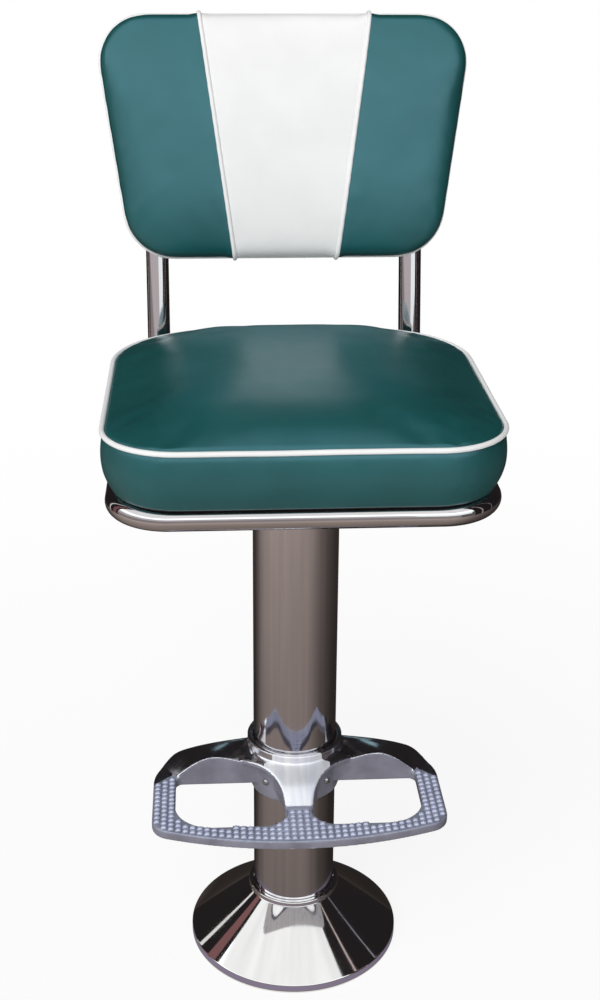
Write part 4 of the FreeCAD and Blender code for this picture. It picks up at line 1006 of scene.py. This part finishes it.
# Column and cone cover, turned finely so that their chrome shows no flats
COLUMN_RADIUS = 50.8 * MM
COLUMN_BORE = 48.8 * MM
COLUMN_LOW = 10 * MM
COLUMN_TOP = 596 * MM
CONE_RADIUS = 131.5 * MM
CONE_LIP = 10.5 * MM
CONE_TOP = 71 * MM
COLLAR_RADIUS = 57 * MM
COLLAR_TOP = 76.5 * MM
COLLAR_BORE = 51.1 * MM
SHEET = 1.2 * MM
TUBE_ROUND = 0.3 * MM
EDGE_ROUND = 0.4 * MM
LIP_ROUND = 2.4 * MM
NECK_ROUND = 1.6 * MM
NECK_ROUND_INSIDE = 0.8 * MM
COLLAR_ROUND = 2.2 * MM
column_outline = [(COLUMN_BORE, COLUMN_LOW), (COLUMN_RADIUS, COLUMN_LOW), (COLUMN_RADIUS, COLUMN_TOP),
                  (COLUMN_BORE, COLUMN_TOP)]
keep("column_shell", turned_mesh("column_shell", column_outline, [TUBE_ROUND] * 4), drawn, "pedestal",
     "column_chrome", ["column_tube"])
cone_outline = [(CONE_RADIUS - SHEET, 0), (CONE_RADIUS, 0), (CONE_RADIUS, CONE_LIP),
                (COLLAR_RADIUS, CONE_TOP), (COLLAR_RADIUS, COLLAR_TOP), (COLLAR_BORE, COLLAR_TOP),
                (COLLAR_BORE, COLLAR_TOP - SHEET), (COLLAR_RADIUS - SHEET, COLLAR_TOP - SHEET),
                (COLLAR_RADIUS - SHEET, CONE_TOP - SHEET), (CONE_RADIUS - SHEET, CONE_LIP - SHEET)]
cone_rounds = [EDGE_ROUND, EDGE_ROUND, LIP_ROUND, NECK_ROUND, COLLAR_ROUND, EDGE_ROUND, EDGE_ROUND,
               COLLAR_ROUND - SHEET, NECK_ROUND_INSIDE, LIP_ROUND - SHEET]
keep("cone_shell", turned_mesh("cone_shell", cone_outline, cone_rounds), spun, "pedestal", "base_chrome",
     ["cone_cover"])

# Floor, in metres: pale, with the stool's shadow, which fades away from the stool
FLOOR_RADIUS = 40
SHADOW_FADE = (0.5, 2.0)


def pale_floor():
    """Build a round floor that shows nearly white and keeps a soft shadow."""
    mesh = bpy.data.meshes.new("floor")
    work = bmesh.new()
    bmesh.ops.create_circle(work, cap_ends=True, segments=96, radius=FLOOR_RADIUS)
    work.to_mesh(mesh)
    work.free()
    floor = in_scene("floor", mesh)
    material = bpy.data.materials.new("pale_floor")
    tree, output = fresh_tree(material)
    plain = tree.nodes.new("ShaderNodeBsdfDiffuse")
    plain.inputs["Color"].default_value = (0.95, 0.95, 0.95, 1)
    bright = tree.nodes.new("ShaderNodeEmission")
    bright.inputs["Color"].default_value = (1, 1, 1, 1)
    whiteness = spread(tree, from_middle(tree), *SHADOW_FADE, 0.86, 1.0)
    mixing = tree.nodes.new("ShaderNodeMixShader")
    tree.links.new(combine(tree, "MULTIPLY", when_seen(tree), whiteness), mixing.inputs["Fac"])
    tree.links.new(plain.outputs["BSDF"], mixing.inputs[1])
    tree.links.new(bright.outputs["Emission"], mixing.inputs[2])
    tree.links.new(mixing.outputs["Shader"], output.inputs["Surface"])
    mesh.materials.append(material)


pale_floor()


# Reflected surroundings, in metres and degrees: cards that only the gloss of the stool sees
WALL = 2.5
WALL_FRONT = 2.45
HAZE_MIDDLE = 0.8
GLOW_LOW = 0.9
HAZE_TOP = 1.27
GLOW_TOP = 1.3
REAR_GLOW_LOW = 0.7
REAR_GLOW_TOP = 1.35
SKY_LOW = 1.36
SKY_TOP = 2.05
ROOM_TOP = 6.0
STRIP_LOW = 0.01
STRIP_TOP = 3.2
LEFT_END = -95
SHADE_START = 36
RIGHT_END = 60
WALL_STEP = 4
TONE_FADE = (0.15, 2.3)
GROUND_RADIUS = 2.55
GROUND_HEIGHT = 2 * MM
CLOSE_RADIUS = 0.148
CLOSE_HEIGHT = 3 * MM
CEILING_REAR = 1.4
REAR_END = 2.6
GROUND_CLOSE = (0.29, 0.25, 0.35)
GROUND_NEAR = (0.24, 0.20, 0.18)
GROUND_FAR = (0.66, 0.55, 0.50)
HAZE = (0.68, 0.63, 0.65)
DARK = (0.020, 0.017, 0.018)
SKY = (0.90, 0.97, 1.0)
HIGH_SKY = (0.97, 0.99, 1.0)
CEILING = (1.1, 1.3, 1.4)
REAR_TEAL = (0.40, 0.62, 0.68)


def card(name, corners, faces, near, far, strength):
    """Stand a glowing card that is seen in reflections alone, its colour changing away from the stool."""
    mesh = bpy.data.meshes.new(name)
    mesh.from_pydata(corners, [], faces)
    board = in_scene(name, mesh)
    board.visible_camera = False
    board.visible_diffuse = False
    board.visible_transmission = False
    board.visible_shadow = False
    material = bpy.data.materials.new(name)
    tree, output = fresh_tree(material)
    glow = tree.nodes.new("ShaderNodeEmission")
    away = spread(tree, from_middle(tree), *TONE_FADE, 0, 1)
    patches = spread(tree, noise_at(tree, place(tree), 1.3, 3), 0.3, 0.7, strength * 0.86, strength)
    tree.links.new(patches, glow.inputs["Strength"])
    tree.links.new(blend_colours(tree, away, near, far), glow.inputs["Color"])
    tree.links.new(glow.outputs["Emission"], output.inputs["Surface"])
    mesh.materials.append(material)
    return board


def wall_card(name, start, end, low, high, radius, colour, strength):
    """Stand a curved card round the stool between two bearings, 0 in front and 90 to the right."""
    steps = max(2, round((end - start) / WALL_STEP))
    corners = []
    for step in range(steps + 1):
        bearing = math.radians(start + (end - start) * step / steps)
        for height in (low, high):
            corners.append((radius * math.sin(bearing), -radius * math.cos(bearing), height))
    faces = [(2 * step, 2 * step + 2, 2 * step + 3, 2 * step + 1) for step in range(steps)]
    card(name, corners, faces, colour, colour, strength)


def ground_card(name, radius, height, near, far, shares):
    """Lay a round card just over the floor, its brightness following the bearing."""
    steps = 90
    corners = [(0, 0, height)]
    for step in range(steps):
        bearing = 2 * math.pi * step / steps
        corners.append((radius * math.sin(bearing), -radius * math.cos(bearing), height))
    faces = [(0, step + 1, (step + 1) % steps + 1) for step in range(steps)]
    tree = card(name, corners, faces, near, far, 1.0).data.materials[0].node_tree
    parts = tree.nodes.new("ShaderNodeSeparateXYZ")
    tree.links.new(place(tree), parts.inputs["Vector"])
    forwards = combine(tree, "MULTIPLY", parts.outputs["Y"], -1)
    bearing = combine(tree, "ARCTAN2", parts.outputs["X"], forwards)
    ramp = tree.nodes.new("ShaderNodeValToRGB")
    tree.links.new(spread(tree, bearing, -math.pi, math.pi, 0, 1), ramp.inputs["Fac"])
    stops = ramp.color_ramp.elements
    while len(stops) < len(shares):
        stops.new(0.5)
    for stop, (degrees, share) in zip(stops, shares):
        stop.position = (degrees + 180) / 360
        stop.color = (share, share, share, 1)
    glow = next(node for node in tree.nodes if node.type == "EMISSION")
    patches = glow.inputs["Strength"].links[0].from_socket
    tree.links.new(combine(tree, "MULTIPLY", patches, ramp.outputs["Color"]), glow.inputs["Strength"])


def ceiling_card(name, half, front, rear, colour):
    """Hang a flat card over the stool, from one depth to another."""
    corners = [(-half, front, ROOM_TOP), (half, front, ROOM_TOP),
               (half, rear, ROOM_TOP), (-half, rear, ROOM_TOP)]
    card(name, corners, [(0, 1, 2, 3)], colour, colour, 1.0)


ground_card("ground", GROUND_RADIUS, GROUND_HEIGHT, GROUND_NEAR, GROUND_FAR,
            [(-180, 0.12), (-140, 0.12), (-122, 0.32), (-104, 0.66), (-84, 0.94), (-60, 1.02), (0, 1.0),
             (28, 0.88), (46, 0.66), (64, 0.38), (84, 0.25), (105, 0.16), (130, 0.1), (180, 0.1)])
ground_card("ground_close", CLOSE_RADIUS, CLOSE_HEIGHT, GROUND_CLOSE, GROUND_CLOSE,
            [(-180, 0.08), (-125, 0.1), (-95, 0.7), (-60, 1.0), (0, 1.0), (40, 0.9), (80, 0.6), (95, 0.5),
             (125, 0.1), (180, 0.08)])
wall_card("front_low", LEFT_END, SHADE_START, 0, HAZE_MIDDLE, WALL, HAZE, 0.5)
wall_card("front_middle", LEFT_END, SHADE_START, HAZE_MIDDLE, HAZE_TOP, WALL, HAZE, 1.0)
wall_card("front_low_dark", SHADE_START, RIGHT_END, 0, HAZE_TOP, WALL, HAZE, 0.22)
wall_card("front_glow", 10, 55, GLOW_LOW, GLOW_TOP, WALL_FRONT, SKY, 1.5)
wall_card("front_haze", LEFT_END, RIGHT_END, HAZE_TOP, SKY_LOW, WALL, SKY, 0.95)
wall_card("front_sky", LEFT_END, RIGHT_END, SKY_LOW, SKY_TOP, WALL, SKY, 2.1)
wall_card("front_high", LEFT_END, RIGHT_END, SKY_TOP, ROOM_TOP, WALL, HIGH_SKY, 1.2)
wall_card("right_dark", RIGHT_END, 180, 0, ROOM_TOP, WALL, DARK, 1.0)
wall_card("left_dark", -180, LEFT_END, 0, ROOM_TOP, WALL, DARK, 1.0)
wall_card("rear_glow", 164, 188, REAR_GLOW_LOW, REAR_GLOW_TOP, WALL_FRONT, REAR_TEAL, 0.75)
wall_card("right_strip", 74, 75.5, STRIP_LOW, STRIP_TOP, WALL_FRONT, (0.9, 0.75, 0.75), 0.9)
wall_card("right_strip_thin", 96, 96.7, STRIP_LOW, STRIP_TOP, WALL_FRONT, (0.6, 0.6, 0.7), 0.8)
wall_card("left_strip", -119, -116, STRIP_LOW, STRIP_TOP, WALL_FRONT, (0.95, 0.95, 0.95), 0.95)
wall_card("left_strip_brown", -107, -99, STRIP_LOW, STRIP_TOP, WALL_FRONT, (0.25, 0.12, 0.12), 1.0)
ceiling_card("ceiling", WALL, -WALL, CEILING_REAR, CEILING)
ceiling_card("ceiling_rear", REAR_END, CEILING_REAR, REAR_END, DARK)


# World, lamp and camera, which was fitted to the photograph
AMBIENT = 0.34
LAMP_POWER = 2.35
LAMP_SPREAD = math.radians(50)
LAMP_FROM = Vector((-0.5, -1, 0.9))
CAMERA_PLACE = Vector((-0.1005, -1.5968, 1.2827))
CAMERA_PAN = math.radians(-3.6)
CAMERA_FALL = math.radians(21.448)
CAMERA_ROLL = math.radians(0.4)


def lit_world():
    """Give a plain pale world: white where it is seen, softer where it lights."""
    world = bpy.data.worlds.new("studio")
    bpy.context.scene.world = world
    tree, output = fresh_tree(world, "ShaderNodeOutputWorld")
    back = tree.nodes.new("ShaderNodeBackground")
    back.inputs["Color"].default_value = (1, 1, 1, 1)
    tree.links.new(spread(tree, when_seen(tree), 0, 1, AMBIENT, 1.0), back.inputs["Strength"])
    tree.links.new(back.outputs["Background"], output.inputs["Surface"])


lit_world()
lamp = bpy.data.lights.new("front_light", "SUN")
lamp.energy = LAMP_POWER
lamp.angle = LAMP_SPREAD
lamp_head = in_scene("front_light", lamp)
lamp_head.rotation_euler = LAMP_FROM.to_track_quat("Z", "Y").to_euler()
lamp_head.visible_glossy = False

camera = bpy.data.cameras.new("camera")
camera.lens = 53.79
camera.sensor_width = 36
camera.shift_x = 0.0036
camera.shift_y = -0.0415
eye = in_scene("camera", camera)
aim = Matrix.Rotation(CAMERA_PAN, 4, "Z") @ Matrix.Rotation(math.pi / 2 - CAMERA_FALL, 4, "X")
eye.matrix_world = Matrix.Translation(CAMERA_PLACE) @ aim @ Matrix.Rotation(CAMERA_ROLL, 4, "Z")
bpy.context.scene.camera = eye
bpy.context.scene.view_settings.view_transform = "Standard"
